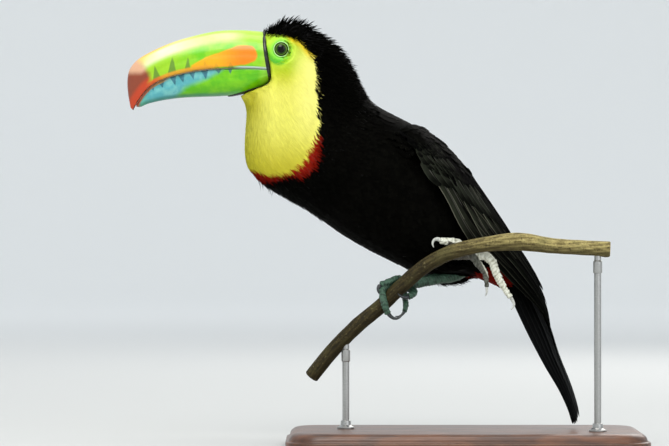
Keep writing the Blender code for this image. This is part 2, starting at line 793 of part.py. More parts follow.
def main():
    """Builds every piece, cutting each back where it meets its neighbours."""
    for old in list(bpy.data.objects):
        bpy.data.objects.remove(old)
    materials = make_materials()
    bird = bpy.data.objects.new("bird", None)
    bird.location.y = MIDLINE_Y
    bpy.context.scene.collection.objects.link(bird)
    black, skin = materials["plumage_black"], materials["leg_skin"]

    last_station = len(HEAD_TO_VENT) - 1
    head = body_length("head", 0, LAST_HEAD_STATION, materials["face_yellow"], bird)
    body_length("neck", LAST_HEAD_STATION, LAST_NECK_STATION, materials["face_yellow"], bird)
    trunk = body_length("trunk", LAST_NECK_STATION, last_station, black, bird)
    bill = [
        make_bill("bill_upper", UPPER_BILL, True, materials["bill_upper"], bird),
        make_bill("bill_lower", LOWER_BILL, False, materials["bill_lower"], bird),
    ]
    combine(head, face_cutter(), "DIFFERENCE")
    eyes = [
        make_eye("eye_left", -1, materials["eye"], bird),
        make_eye("eye_right", 1, materials["eye"], bird),
    ]
    wings = [
        make_wing("wing_left", -1, trunk, black, bird),
        make_wing("wing_right", 1, trunk, black, bird),
    ]
    tail = make_tail(black, bird)
    bpy.context.view_layer.update()
    cut_clear(head, [*eyes, *bill])

    perch = make_perch(materials["bark"])
    thighs = []
    for side, wing in zip(("left", "right"), wings):
        thigh = make_thigh(f"thigh_{side}", THIGHS[side], black)
        foot = make_foot(side, materials)
        leg = make_lower_leg(f"leg_{side}", side, skin)
        bpy.context.view_layer.update()
        cut_clear(foot, [perch])
        cut_clear(leg, [perch])
        cut_clear_of_foot(leg, side, skin, with_leg=False)
        cut_clear(wing, [trunk, tail, thigh, perch])
        cut_clear_of_foot(wing, side, skin)
        thighs.append(thigh)
    cut_clear(tail, [trunk])
    for side, thigh in zip(("left", "right"), thighs):
        cut_clear(thigh, [trunk, perch])
        cut_clear_of_foot(thigh, side, skin)
        cut_clear_of_foot(trunk, side, skin)
    cut_clear(trunk, [perch])

    make_base(materials["stand_wood"])
    for name, x in ROD_FEET_X.items():
        make_rod(name, x, perch, materials["stand_metal"])


main()
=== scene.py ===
"""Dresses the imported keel-billed toucan: skin, plumage, bill, feet, perch, stand and studio.

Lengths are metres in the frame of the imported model. The bird faces -X and its left side faces -Y.
"""

import sys

import heapq
import logging
import math
from contextlib import contextmanager
from dataclasses import dataclass
from enum import Enum
from typing import Any, Callable, ClassVar, Iterable, Iterator, Sequence

import bmesh
import bpy
import numpy as np
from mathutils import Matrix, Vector, noise
from mathutils.bvhtree import BVHTree
from mathutils.kdtree import KDTree


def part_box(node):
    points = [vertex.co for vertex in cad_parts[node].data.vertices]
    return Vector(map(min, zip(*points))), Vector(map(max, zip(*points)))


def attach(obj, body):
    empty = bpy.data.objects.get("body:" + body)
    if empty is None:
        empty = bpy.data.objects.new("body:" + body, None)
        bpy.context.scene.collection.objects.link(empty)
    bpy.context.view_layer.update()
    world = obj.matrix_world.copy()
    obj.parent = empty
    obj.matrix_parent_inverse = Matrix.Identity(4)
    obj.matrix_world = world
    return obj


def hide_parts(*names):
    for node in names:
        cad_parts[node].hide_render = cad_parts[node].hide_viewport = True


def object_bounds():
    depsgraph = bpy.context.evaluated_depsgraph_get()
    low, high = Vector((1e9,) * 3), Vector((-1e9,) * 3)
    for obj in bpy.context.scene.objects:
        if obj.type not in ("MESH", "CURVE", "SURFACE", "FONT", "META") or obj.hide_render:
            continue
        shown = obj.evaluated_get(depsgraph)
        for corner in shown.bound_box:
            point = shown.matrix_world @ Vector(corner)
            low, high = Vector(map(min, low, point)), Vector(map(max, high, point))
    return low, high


log = logging.getLogger("toucan")
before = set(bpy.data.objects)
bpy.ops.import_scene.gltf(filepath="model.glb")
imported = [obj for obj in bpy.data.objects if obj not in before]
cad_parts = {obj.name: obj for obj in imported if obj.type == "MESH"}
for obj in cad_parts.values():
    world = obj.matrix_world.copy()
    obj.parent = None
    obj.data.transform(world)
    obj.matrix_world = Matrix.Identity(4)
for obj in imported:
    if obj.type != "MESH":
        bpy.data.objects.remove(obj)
CAD_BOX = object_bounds()

Array = np.ndarray
Hue = tuple[int, int, int]
MM = 0.001
WELD = 0.000001
BODY = "root"


def middle_of(node: str) -> Array:
    """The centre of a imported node's box."""
    low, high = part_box(node)
    return np.array((low + high) / 2)


MIDLINE = float(middle_of("trunk")[1])


# ---------------------------------------------------------------- shader expressions


def linear(hue: Hue) -> tuple[float, float, float, float]:
    """A colour as it looks on a display, 0 to 255, as the linear colour that a shader takes."""
    parts = [c / 255 for c in hue]
    return (*[p / 12.92 if p <= 0.04045 else ((p + 0.055) / 1.055) ** 2.4 for p in parts], 1.0)


class Value:
    """A node's output, written in Python expressions: each operator adds one Math node."""

    def __init__(self, shader: "Shader", socket: bpy.types.NodeSocket) -> None:
        """Keeps the socket and the shader that it belongs to."""
        self.shader = shader
        self.socket = socket

    def __add__(self, other: Any) -> "Value":
        """self + other."""
        return self.shader.math("ADD", self, other)

    def __sub__(self, other: Any) -> "Value":
        """self - other."""
        return self.shader.math("SUBTRACT", self, other)

    def __rsub__(self, other: Any) -> "Value":
        """other - self."""
        return self.shader.math("SUBTRACT", other, self)

    def __mul__(self, other: Any) -> "Value":
        """self * other."""
        return self.shader.math("MULTIPLY", self, other)

    def __pow__(self, other: Any) -> "Value":
        """self to the power other."""
        return self.shader.math("POWER", self, other)

    def __rpow__(self, other: Any) -> "Value":
        """other to the power self."""
        return self.shader.math("POWER", other, self)

    def __abs__(self) -> "Value":
        """The size of the value without its sign."""
        return self.shader.math("ABSOLUTE", self)

    __radd__ = __add__
    __rmul__ = __mul__

    def wave(self) -> "Value":
        """The sine of the value in radians, brought between 0 and 1."""
        return self.shader.math("SINE", self) * 0.5 + 0.5

    def step(self, low: float, high: float) -> "Value":
        """A soft step: 0 up to low, 1 from high on. With low above high it falls instead."""
        if low > high:
            return 1 - self.step(high, low)
        settings = {"interpolation_type": "SMOOTHSTEP"}
        return self.shader.node("ShaderNodeMapRange", settings, {0: self, 1: low, 2: high})


class Shader:
    """One material's node tree, and the few ways in which the finishes add to it."""

    def __init__(self, name: str) -> None:
        """Starts a material with an empty tree."""
        self.material = bpy.data.materials.new(name)
        self.material.use_nodes = True
        self.tree = self.material.node_tree
        self.tree.nodes.clear()

    def node(
        self, kind: str, settings: dict[str, Any], inputs: dict[Any, Any], output: int = 0
    ) -> Value:
        """Adds a node.

        Args:
            kind: The node's type.
            settings: Its properties, set before its sockets.
            inputs: Socket names or numbers, each with a constant or a Value to link.
            output: The number of the output to return.

        Returns:
            That output.
        """
        made = self.tree.nodes.new(kind)
        for name, setting in settings.items():
            setattr(made, name, setting)
        for name, value in inputs.items():
            if isinstance(value, Value):
                self.tree.links.new(value.socket, made.inputs[name])
            else:
                made.inputs[name].default_value = value
        return Value(self, made.outputs[output] if made.outputs else None)

    def math(self, operation: str, *values: Any) -> Value:
        """A Math node on one or two values."""
        return self.node("ShaderNodeMath", {"operation": operation}, dict(enumerate(values)))

    def mark(self, name: str) -> Value:
        """A number stored on the mesh's points under that name."""
        return self.node("ShaderNodeAttribute", {"attribute_name": name}, {}, 2)

    def marks(self, *names: str) -> list[Value]:
        """Several of the numbers stored on the mesh's points."""
        return [self.mark(name) for name in names]
    def place(self, stretch: Sequence[float] = (1, 1, 1)) -> Value:
        """The point's place on the object, in metres, stretched along the three axes."""
        spot = self.node("ShaderNodeTexCoord", {}, {}, 3)
        if tuple(stretch) == (1, 1, 1):
            return spot
        return self.node("ShaderNodeVectorMath", {"operation": "MULTIPLY"}, {0: spot, 1: stretch})

    def axis(self, number: int) -> Value:
        """One coordinate of the point's place: 0 for X, 1 for Y and 2 for Z."""
        return self.node("ShaderNodeSeparateXYZ", {}, {0: self.place()}, number)

    def noise(
        self, grain: float, detail: float = 3.0, stretch: Sequence[float] = (1, 1, 1)
    ) -> Value:
        """Smooth noise between 0 and 1.

        Args:
            grain: The size of its blotches in metres.
            detail: How many finer layers it has.
            stretch: A factor on the place along each axis; below 1 draws the blotches out.

        Returns:
            The noise.
        """
        inputs = {"Vector": self.place(stretch), "Scale": 1 / grain, "Detail": detail}
        return self.node("ShaderNodeTexNoise", {}, inputs)

    def cells(self, grain: float, feature: str = "F1") -> Value:
        """Distances in a pattern of cells of that size in metres."""
        inputs = {"Vector": self.place(), "Scale": 1 / grain}
        return self.node("ShaderNodeTexVoronoi", {"feature": feature}, inputs)

    def blend(self, first: Any, second: Any, share: Any) -> Value:
        """A colour between two, each a Hue or a Value: the first at share 0, the second at 1."""
        ends = [linear(c) if isinstance(c, tuple) else c for c in (first, second)]
        settings = {"data_type": "RGBA", "clamp_factor": True}
        return self.node("ShaderNodeMix", settings, {0: share, 6: ends[0], 7: ends[1]}, 2)

    def layers(self, colour: Any, *over: tuple[Any, Any]) -> Value:
        """A colour under others.

        Args:
            colour: The lowest colour, a Hue or a Value.
            *over: The colours laid over it in turn, each with its share from 0 to 1.

        Returns:
            The colour that shows.
        """
        for hue, share in over:
            colour = self.blend(colour, hue, share)
        return colour

    def tinted(self, colour: Value, amount: Value) -> Value:
        """A colour made lighter or darker by a value around 1."""
        grey = self.node("ShaderNodeCombineXYZ", {}, dict.fromkeys(range(3), amount))
        return self.node("ShaderNodeVectorMath", {"operation": "MULTIPLY"}, {0: colour, 1: grey})

    def bump(self, height: Value, depth: float) -> Value:
        """A normal raised by a height from 0 to 1 that stands for that many metres."""
        inputs = {"Height": height, "Distance": depth, "Strength": 1.0}
        return self.node("ShaderNodeBump", {}, inputs)

    def finish(self, **sockets: Any) -> None:
        """Adds the surface shader, its inputs' names written with _ for a space."""
        inputs = {name.replace("_", " "): value for name, value in sockets.items()}
        surface = self.node("ShaderNodeBsdfPrincipled", {}, inputs)
        self.node("ShaderNodeOutputMaterial", {}, {0: surface})


class Finish:
    """What every finish shares: its material is made once, at the first piece that wears it."""

    made: dict[str, bpy.types.Material] = {}

    def paint(self, shader: Shader) -> None:
        """Adds the finish's nodes. Each finish has its own."""
        raise NotImplementedError

    def material(self) -> bpy.types.Material:
        """The finish's material."""
        name = repr(self)
        if name not in Finish.made:
            shader = Shader(type(self).__name__)
            self.paint(shader)
            Finish.made[name] = shader.material
        return Finish.made[name]


# ---------------------------------------------------------------- curves, outlines and meshes


def unit(vectors: Array) -> Array:
    """The vectors at length 1."""
    return vectors / np.maximum(np.linalg.norm(vectors, axis=-1, keepdims=True), 1e-12)


def ramp(values: Array, low: float, high: float) -> Array:
    """A soft step from 0 at low to 1 at high, which may be the lower one."""
    share = np.clip((values - low) / (high - low), 0, 1)
    return share * share * (3 - 2 * share)


def spline(values: Any, at: Any) -> Array:
    """Values at fractional indices of a list, on a smooth curve through its values."""
    values, at = np.asarray(values, float), np.asarray(at, float)
    last = len(values) - 1
    low = np.clip(at.astype(int), 0, last - 1)
    share = (at - low).reshape(at.shape + (1,) * (values.ndim - 1))
    before, start = values[np.maximum(low - 1, 0)], values[low]
    end, after = values[low + 1], values[np.minimum(low + 2, last)]
    return 0.5 * (
        2 * start
        + (end - before) * share
        + (2 * before - 5 * start + 4 * end - after) * share**2
        + (3 * start - before - 3 * end + after) * share**3
    )


def turns(count: int) -> Array:
    """That many angles, evenly round a circle."""
    return 2 * np.pi * np.arange(count) / count


def lengths_along(line: Array) -> Array:
    """How far along a line of points each one lies from its start."""
    return np.append(0, np.cumsum(np.linalg.norm(np.diff(line, axis=0), axis=1)))


def even_points(line: Array, count: int) -> Array:
    """That many points at even distances along a line of points."""
    along = lengths_along(line)
    at = np.linspace(0, along[-1], count)
    return np.stack([np.interp(at, along, line[:, axis]) for axis in range(line.shape[1])], 1)


def flattened(ways: Array, normals: Array) -> Array:
    """Directions turned to lie along a surface with those normals."""
    return unit(ways - (ways * normals).sum(1, keepdims=True) * normals)


def segment_reach(points: Array, start: Array, end: Array) -> Array:
    """How far points are from the straight line between two others."""
    side = end - start
    share = np.clip((points - start) @ side / max(side @ side, 1e-12), 0, 1)
    return np.linalg.norm(points - start - share[:, None] * side, axis=1)


def depth_inside(points: Array, outline: Sequence[tuple[float, float]]) -> Array:
    """How far points lie inside a closed outline.

    Args:
        points: The points, N by 2.
        outline: The outline's corners.

    Returns:
        The distance to the outline of each, negative outside.
    """
    corners = np.asarray(outline, float)
    nearest = np.full(len(points), 1e9)
    inside = np.zeros(len(points), bool)
    for start, end in zip(corners, np.roll(corners, -1, axis=0)):
        nearest = np.minimum(nearest, segment_reach(points, start, end))
        if start[1] != end[1]:
            crosses = (points[:, 1] < start[1]) != (points[:, 1] < end[1])
            at = start[0] + (points[:, 1] - start[1]) / (end[1] - start[1]) * (end[0] - start[0])
            inside ^= crosses & (points[:, 0] < at)
    return np.where(inside, nearest, -nearest)


def fast_mesh(name: str, points: Array, faces: Sequence[Array]) -> bpy.types.Mesh:
    """A smooth mesh from arrays.

    Args:
        name: The mesh's name.
        points: Its points, N by 3.
        faces: Arrays of corner numbers, each array for faces of one size.

    Returns:
        The mesh.
    """
    faces = [f for f in faces if len(f)]
    sizes = np.concatenate([np.full(len(f), f.shape[1]) for f in faces])
    corners = np.concatenate([f.ravel() for f in faces])
    mesh = bpy.data.meshes.new(name)
    mesh.vertices.add(len(points))
    mesh.vertices.foreach_set("co", np.asarray(points, np.float32).ravel())
    mesh.loops.add(len(corners))
    mesh.loops.foreach_set("vertex_index", corners.astype(np.int32))
    mesh.polygons.add(len(sizes))
    starts = np.concatenate([[0], np.cumsum(sizes)[:-1]])
    mesh.polygons.foreach_set("loop_start", starts.astype(np.int32))
    mesh.update(calc_edges=True)
    mesh.shade_smooth()
    return mesh


def store(mesh: bpy.types.Mesh, marks: dict[str, Array]) -> None:
    """Stores numbers on a mesh's points, one array for each name."""
    for name, values in marks.items():
        layer = mesh.attributes.new(name, "FLOAT", "POINT")
        layer.data.foreach_set("value", np.asarray(values, np.float32))


def rows_of(items: Any, name: str, width: int, kind: type = np.float32) -> Array:
    """One property of every item in a mesh's list, as rows of that many numbers."""
    flat = np.empty(len(items) * width, kind)
    items.foreach_get(name, flat)
    return flat.reshape(-1, width)


def points_of(mesh: bpy.types.Mesh) -> Array:
    """A mesh's points, N by 3."""
    return rows_of(mesh.vertices, "co", 3).astype(float)


def normals_of(mesh: bpy.types.Mesh) -> Array:
    """The normals at a mesh's points, N by 3."""
    return rows_of(mesh.vertex_normals, "vector", 3).astype(float)


def edges_of(mesh: bpy.types.Mesh) -> Array:
    """The numbers of the two points of each edge."""
    return rows_of(mesh.edges, "vertices", 2, np.int32)


def relaxed(points: Array, edges: Array, rounds: int) -> Array:
    """Points of a mesh smoothed by moving each halfway to the mean of its neighbours."""
    count = np.bincount(edges.ravel(), minlength=len(points))[:, None]
    for _ in range(rounds):
        total = np.stack(
            [
                np.bincount(edges[:, 0], points[edges[:, 1], axis], len(points))
                + np.bincount(edges[:, 1], points[edges[:, 0], axis], len(points))
                for axis in range(points.shape[1])
            ],
            1,
        )
        points = points + (total / np.maximum(count, 1) - points) / 2
    return points


def move_points(mesh: bpy.types.Mesh, points: Array) -> None:
    """Puts a mesh's points in new places."""
    mesh.vertices.foreach_set("co", np.asarray(points, np.float32).ravel())
    mesh.update()


def grid_faces(rows: int, columns: int, closed: bool = False) -> Array:
    """The quads of a grid of points, which may close round its columns."""
    row, column = np.meshgrid(
        np.arange(rows - 1), np.arange(columns if closed else columns - 1), indexing="ij"
    )
    beside = (column + 1) % columns
    first = row * columns
    faces = (first + column, first + beside, first + columns + beside, first + columns + column)
    return np.stack(faces, -1).reshape(-1, 4)


def capped_loft(rings: Array) -> tuple[Array, list[Array]]:
    """A closed body through rings.

    Args:
        rings: The rings' points, R by C by 3.

    Returns:
        Its points, with one more at the middle of each end, and its faces.
    """
    rows, columns = rings.shape[:2]
    points = np.concatenate([rings.reshape(-1, 3), rings[0].mean(0)[None], rings[-1].mean(0)[None]])
    turn = np.arange(columns)
    beside = (turn + 1) % columns
    foot, head = rows * columns, rows * columns + 1
    last = (rows - 1) * columns
    caps = [
        np.stack([np.full(columns, foot), beside, turn], 1),
        np.stack([np.full(columns, head), last + turn, last + beside], 1),
    ]
    return points, [grid_faces(rows, columns, closed=True), np.concatenate(caps)]


def tube_rings(line: Array, radii: Array, sides: int) -> Array:
    """Rings of the given radii round a line of points, which turn as little as they can."""
    ahead = unit(np.gradient(line, axis=0))
    turned = np.cross(ahead[0], (0, 1, 0) if abs(ahead[0][1]) < 0.9 else (1, 0, 0))
    turn = turns(sides)
    rings = []
    for point, forward, radius in zip(line, ahead, radii):
        turned = unit(turned - forward * (turned @ forward))
        beside = np.cross(forward, turned)
        spoke = np.outer(np.cos(turn), turned) + np.outer(np.sin(turn), beside)
        rings.append(point + np.reshape(radius, (-1, 1)) * spoke)
    return np.array(rings)


def revolved(
    profile: Sequence[tuple[float, float]], sides: int, x: float = 0, y: float = 0
) -> Array:
    """Rings round an upright line.

    Args:
        profile: Each ring's radius and height.
        sides: How many points a ring has.
        x: Where the line stands along X.
        y: Where it stands along Y.

    Returns:
        The rings' points, R by C by 3.
    """
    turn = turns(sides)
    rings = [(x + r * np.cos(turn), y + r * np.sin(turn), np.full(sides, z)) for r, z in profile]
    return np.stack([np.stack(ring, 1) for ring in rings])


@contextmanager
def edited(mesh: bpy.types.Mesh) -> Iterator[bmesh.types.BMesh]:
    """A mesh opened for editing, and written back at the end."""
    work = bmesh.new()
    work.from_mesh(mesh)
    yield work
    work.to_mesh(mesh)
    work.free()


def outward(mesh: bpy.types.Mesh) -> bpy.types.Mesh:
    """Turns a closed mesh's faces outwards."""
    with edited(mesh) as work:
        bmesh.ops.recalc_face_normals(work, faces=work.faces)
    return mesh


def placed(name: str, data: Any) -> bpy.types.Object:
    """A new object of that name in the scene."""
    made = bpy.data.objects.new(name, data)
    bpy.context.scene.collection.objects.link(made)
    return made


def modified(mesh: bpy.types.Mesh, kind: str, **settings: Any) -> bpy.types.Mesh:
    """A new mesh, as one modifier makes it from another."""
    cage = placed("cage", mesh)
    modifier = cage.modifiers.new("change", kind)
    for name, setting in settings.items():
        setattr(modifier, name, setting)
    shown = cage.evaluated_get(bpy.context.evaluated_depsgraph_get())
    made = bpy.data.meshes.new_from_object(shown)
    bpy.data.objects.remove(cage)
    return made


def add_piece(
    mesh: bpy.types.Mesh, finish: Finish, slot: str, replaces: Sequence[str] = ()
) -> None:
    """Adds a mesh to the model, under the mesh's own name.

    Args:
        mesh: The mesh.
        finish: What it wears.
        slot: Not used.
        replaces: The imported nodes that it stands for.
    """
    mesh.materials.clear()
    mesh.materials.append(finish.material())
    piece = placed(mesh.name, mesh)
    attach(piece, BODY)
    if replaces:
        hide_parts(*replaces)
    log.info("%-24s %7d triangles", mesh.name, sum(p.loop_total - 2 for p in mesh.polygons))


class Hull:
    """A surface that points and rays are measured against."""

    def __init__(self, meshes: Iterable[bpy.types.Mesh]) -> None:
        """Joins the meshes into one search tree."""
        points, triangles, normals, start = [], [], [], 0
        for mesh in meshes:
            mesh.calc_loop_triangles()
            triangles.append(rows_of(mesh.loop_triangles, "vertices", 3, np.int32) + start)
            points.append(points_of(mesh))
            normals.append(normals_of(mesh))
            start += len(mesh.vertices)
        self.points = np.concatenate(points)
        self.triangles = np.concatenate(triangles)
        self.normals = np.concatenate(normals)
        self.face_normals = unit(self.normals[self.triangles].sum(1))
        self.tree = BVHTree.FromPolygons(self.points.tolist(), self.triangles.tolist())

    def nearest(self, points: Array) -> tuple[Array, Array]:
        """The nearest places on the surface, and the normals there."""
        find = self.tree.find_nearest
        hits = [find(p) for p in points.tolist()]
        places = np.array([h[0] for h in hits])
        return places, self.face_normals[np.array([h[2] for h in hits])]


    def hit(self, starts: Array, ways: Array, reach: float) -> tuple[Array, Array]:
        """Where rays from the starts first meet the surface, and whether they do within reach."""
        cast = self.tree.ray_cast
        hits = [cast(s, w, reach) for s, w in zip(starts.tolist(), ways.tolist())]
        met = np.array([h[0] is not None for h in hits])
        places = np.array([h[0] if h[0] is not None else s for h, s in zip(hits, starts.tolist())])
        return places, met


def node_hull(*names: str) -> Hull:
    """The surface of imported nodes."""
    return Hull(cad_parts[name].data for name in names)


# ---------------------------------------------------------------- the bird's lines and markings


class Side(Enum):
    """The bird's two sides, by which way they face along Y."""

    LEFT = -1
    RIGHT = 1

    def node(self, part: str) -> str:
        """The name of a part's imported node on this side."""
        return f"{part}_{self.name.lower()}"


# The back's line and the breast's line in X and Z, station by station from the bill to the vent.
BACK = (
    (-0.1688, 0.3462), (-0.1590, 0.3545), (-0.1460, 0.3575), (-0.1320, 0.3535), (-0.1172, 0.3440),
    (-0.1026, 0.3305), (-0.0915, 0.3115), (-0.0815, 0.2925), (-0.0640, 0.2785), (-0.0435, 0.2680),
    (-0.0235, 0.2520), (-0.0050, 0.2327), (0.0092, 0.2092), (0.0202, 0.1865), (0.0294, 0.1663),
    (0.0378, 0.1478), (0.0462, 0.1310),
)
BREAST = (
    (-0.1890, 0.2925), (-0.1832, 0.2815), (-0.1838, 0.2665), (-0.1846, 0.2530), (-0.1842, 0.2395),
    (-0.1795, 0.2265), (-0.1690, 0.2160), (-0.1525, 0.2060), (-0.1318, 0.1945), (-0.1092, 0.1780),
    (-0.0865, 0.1642), (-0.0648, 0.1532), (-0.0428, 0.1430), (-0.0210, 0.1390), (-0.0005, 0.1400),
    (0.0193, 0.1345), (0.0361, 0.1262),
)
EYE = (middle_of("eye_left") + middle_of("eye_right")) / 2
EYE_OUT = float(abs(middle_of("eye_left")[1] - MIDLINE))
EYEBALL = 0.0080


class Lie:
    """Which way the plumage lies: along the back above, along the breast below, turning between."""

    STEP = 0.1
    SHARES = 25

    def __init__(self) -> None:
        """Lays a fan of places between the two lines, each with its station, share and heading."""
        stations = np.arange(0, len(BACK) - 1 + 1e-6, self.STEP)
        back, breast = spline(BACK, stations), spline(BREAST, stations)
        share = np.linspace(0, 1, self.SHARES)[None, :, None]
        spots = back[:, None] * (1 - share) + breast[:, None] * share
        over, under = (unit(np.gradient(line, axis=0)) for line in (back, breast))
        heading = unit(over[:, None] * (1 - share) + under[:, None] * share)
        self.spots = spots.reshape(-1, 2)
        self.down = np.repeat(breast - back, self.SHARES, axis=0)
        self.on = np.gradient(spots, self.STEP, axis=0).reshape(-1, 2)
        self.heading = heading.reshape(-1, 2)
        self.station = np.repeat(stations, self.SHARES)
        self.share = np.tile(share.ravel(), len(stations))
        self.tree = KDTree(len(self.station))
        for number, (x, z) in enumerate(spots.reshape(-1, 2)):
            self.tree.insert((x, 0, z), number)
        self.tree.balance()

    def locate(self, points: Array) -> tuple[Array, Array, Array]:
        """Finds places among the two lines.

        Args:
            points: The places, N by 3.

        Returns:
            Their stations, their shares of the way from back to breast, and the lie's headings.
        """
        flat = points * (1, 0, 1)
        at = np.array([self.tree.find(p)[1] for p in flat.tolist()])
        heading = np.stack([self.heading[at, 0], np.zeros(len(at)), self.heading[at, 1]], 1)
        off, on, down = points[:, (0, 2)] - self.spots[at], self.on[at], self.down[at]
        turn = on[:, 0] * down[:, 1] - on[:, 1] * down[:, 0]
        turn = np.where(np.abs(turn) < 1e-9, 1e-9, turn)
        onward = (off[:, 0] * down[:, 1] - off[:, 1] * down[:, 0]) / turn
        over = (on[:, 0] * off[:, 1] - on[:, 1] * off[:, 0]) / turn
        station = self.station[at] + onward.clip(-self.STEP, self.STEP)
        share = self.share[at] + over.clip(-0.5 / self.SHARES, 0.5 / self.SHARES)
        return station, share.clip(0, 1), heading


@dataclass(frozen=True)
class Markings:
    """The coloured areas of skin and plumage, as outlines in X and Z, or as ovals."""

    gold_rear: tuple = (
        (-0.1700, 0.3460), (-0.1621, 0.3439), (-0.1500, 0.3430), (-0.1376, 0.3384),
        (-0.1266, 0.3256), (-0.1235, 0.3184), (-0.1218, 0.3100), (-0.1231, 0.2948),
        (-0.1214, 0.2906), (-0.1231, 0.2772), (-0.1206, 0.2672), (-0.1240, 0.2602),
    )
    gold_foot: tuple = (
        (-0.1271, 0.2509), (-0.1364, 0.2345), (-0.1458, 0.2280), (-0.1551, 0.2252),
        (-0.1668, 0.2250), (-0.1789, 0.2292), (-0.2100, 0.2300),
    )
    red_foot: tuple = (
        (-0.1184, 0.2590), (-0.1206, 0.2462), (-0.1240, 0.2322), (-0.1290, 0.2258),
        (-0.1376, 0.2212), (-0.1446, 0.2230), (-0.1528, 0.2218), (-0.1621, 0.2178),
        (-0.1762, 0.2205), (-0.1815, 0.2250), (-0.2100, 0.2250),
    )
    patch_centre: tuple[float, float] = (-0.1555, 0.3303)
    patch_reach: tuple[float, float] = (0.0102, 0.0122)
    vent_centre: tuple[float, float] = (0.0290, 0.1370)
    vent_reach: tuple[float, float] = (0.0235, 0.0150)
    rump_centre: tuple[float, float] = (0.0300, 0.1720)
    rump_reach: tuple[float, float] = (0.0260, 0.0200)

    def oval(self, flat: Array, centre: tuple, reach: tuple) -> Array:
        """Roughly how far points lie inside an oval, negative outside, in metres."""
        away = np.linalg.norm((flat - centre) / reach, axis=1)
        return (1 - away) * min(reach)

    def measure(self, points: Array) -> dict[str, Array]:
        """How far in millimetres points lie inside each area, negative outside."""
        flat = points[:, (0, 2)]
        top = ((-0.2100, 0.3470),)
        gold = top + self.gold_rear + self.gold_foot
        red = top + self.gold_rear + self.red_foot
        eye = np.linalg.norm(flat - EYE[[0, 2]], axis=1)
        marks = {
            "gold": depth_inside(flat, gold),
            "red": depth_inside(flat, red),
            "patch": self.oval(flat, self.patch_centre, self.patch_reach),
            "vent": self.oval(flat, self.vent_centre, self.vent_reach),
            "rump": self.oval(flat, self.rump_centre, self.rump_reach),
            "eye": eye,
        }
        return {name: values / MM for name, values in marks.items()}


MARKINGS = Markings()
LIE = Lie()


def paint_markings(shader: Shader, black: Value, stray: float) -> Value:
    """The colours that skin and plumage share.

    Args:
        shader: The shader.
        black: The colour of the black parts.
        stray: How far the borders wander, in millimetres.

    Returns:
        The colour.
    """
    wander = (shader.noise(0.0035, 2.0) - 0.5) * (2 * stray)
    gold, red = shader.mark("gold") + wander, shader.mark("red") + wander
    ahead, height = shader.axis(0), shader.axis(2)
    rear = ahead.step(-0.150, -0.128)
    nape = height.step(0.335, 0.315) * height.step(0.24, 0.29)
    chin = ahead.step(-0.166, -0.180) * height.step(0.262, 0.290)
    face = shader.blend((206, 212, 50), (182, 218, 48), height.step(0.302, 0.324))
    yellow = shader.layers(
        (216, 206, 60),
        # painted shade: the bib stays darker low on the breast and lighter above
        ((243, 240, 112), height.step(0.226, 0.272)),
        # painted shade at the bib's front, below the bill
        ((196, 190, 46), ahead.step(-0.158, -0.182) * 0.6),
        (face, height.step(0.290, 0.314) * (1 - rear * 0.75)),
        ((252, 248, 140), rear * nape * 0.85),
        # painted shade on the chin, under the bill
        ((190, 182, 34), chin * 0.7),
    )
    ember = shader.blend((150, 30, 16), (96, 14, 6), (7 - red).step(0, 7))
    rim = gold.step(7.0, 1.5) * height.step(0.318, 0.328) * ahead.step(-0.154, -0.145)
    return shader.layers(
        black,
        (ember, red.step(-0.2, 0.5)),
        (yellow, gold.step(-0.2, 0.5)),
        ((244, 208, 24), rim * gold.step(-0.2, 0.4) * 0.8),
        ((108, 20, 11), shader.mark("vent").step(-0.4, 0.6)),
        ((226, 222, 206), shader.mark("rump").step(-0.4, 0.6)),
    )


# ---------------------------------------------------------------- skin


@dataclass(frozen=True)
class SkinFinish(Finish):
    """Bare face skin round the eye, and the skin that the plumage covers."""

    def paint(self, shader: Shader) -> None:
        """Green face, a pale ring at the lids, fine wrinkles, and dull skin below the coat."""
        black = shader.blend((4, 4, 4), (9, 8, 8), 0.5)
        patch, eye = shader.marks("patch", "eye")
        lower, rear = shader.axis(2).step(0.337, 0.321), shader.axis(0).step(-0.155, -0.146)
        green = shader.layers(
            (178, 234, 56),
            ((78, 180, 4), lower),
            ((152, 222, 36), rear * 0.65),
            ((200, 246, 90), shader.noise(0.0022, 4.0).step(0.5, 0.8) * 0.25),
        )
        below_crown = shader.mark("gold").step(-0.1, 0.3)
        rim = (patch.step(-0.9, 0.5) - patch.step(0.5, 2.8)) * lower * (1 - rear)
        glow = eye.step(10.2, 7.2) * (1 - rear * 0.6) * below_crown
        colour = shader.layers(
            paint_markings(shader, black, 0.4),
            (green, patch.step(-2.0, 0.9) * below_crown),
            ((62, 154, 0), rim * 0.85),
            ((142, 230, 74), glow * 0.75),
            ((72, 150, 36), eye.step(7.3, 6.9) * 0.6),
            ((196, 250, 156), eye.step(6.75, 6.35)),
            ((14, 26, 8), eye.step(5.95, 5.65)),
        )
        shade = shader.noise(0.0012, 4.0) * 0.22 + 0.89
        grain = shader.cells(0.00055) * 0.5 + shader.noise(0.0009, 3.0)
        shader.finish(
            Base_Color=shader.tinted(colour, shade),
            Roughness=shader.noise(0.002) * 0.2 + 0.38 + patch.step(-1.0, -6.0) * 0.3,
            Normal=shader.bump(grain, 0.00012),
            Specular_IOR_Level=0.3,
            Subsurface_Weight=0.06,
            Subsurface_Radius=(0.002, 0.0015, 0.0008),
        )


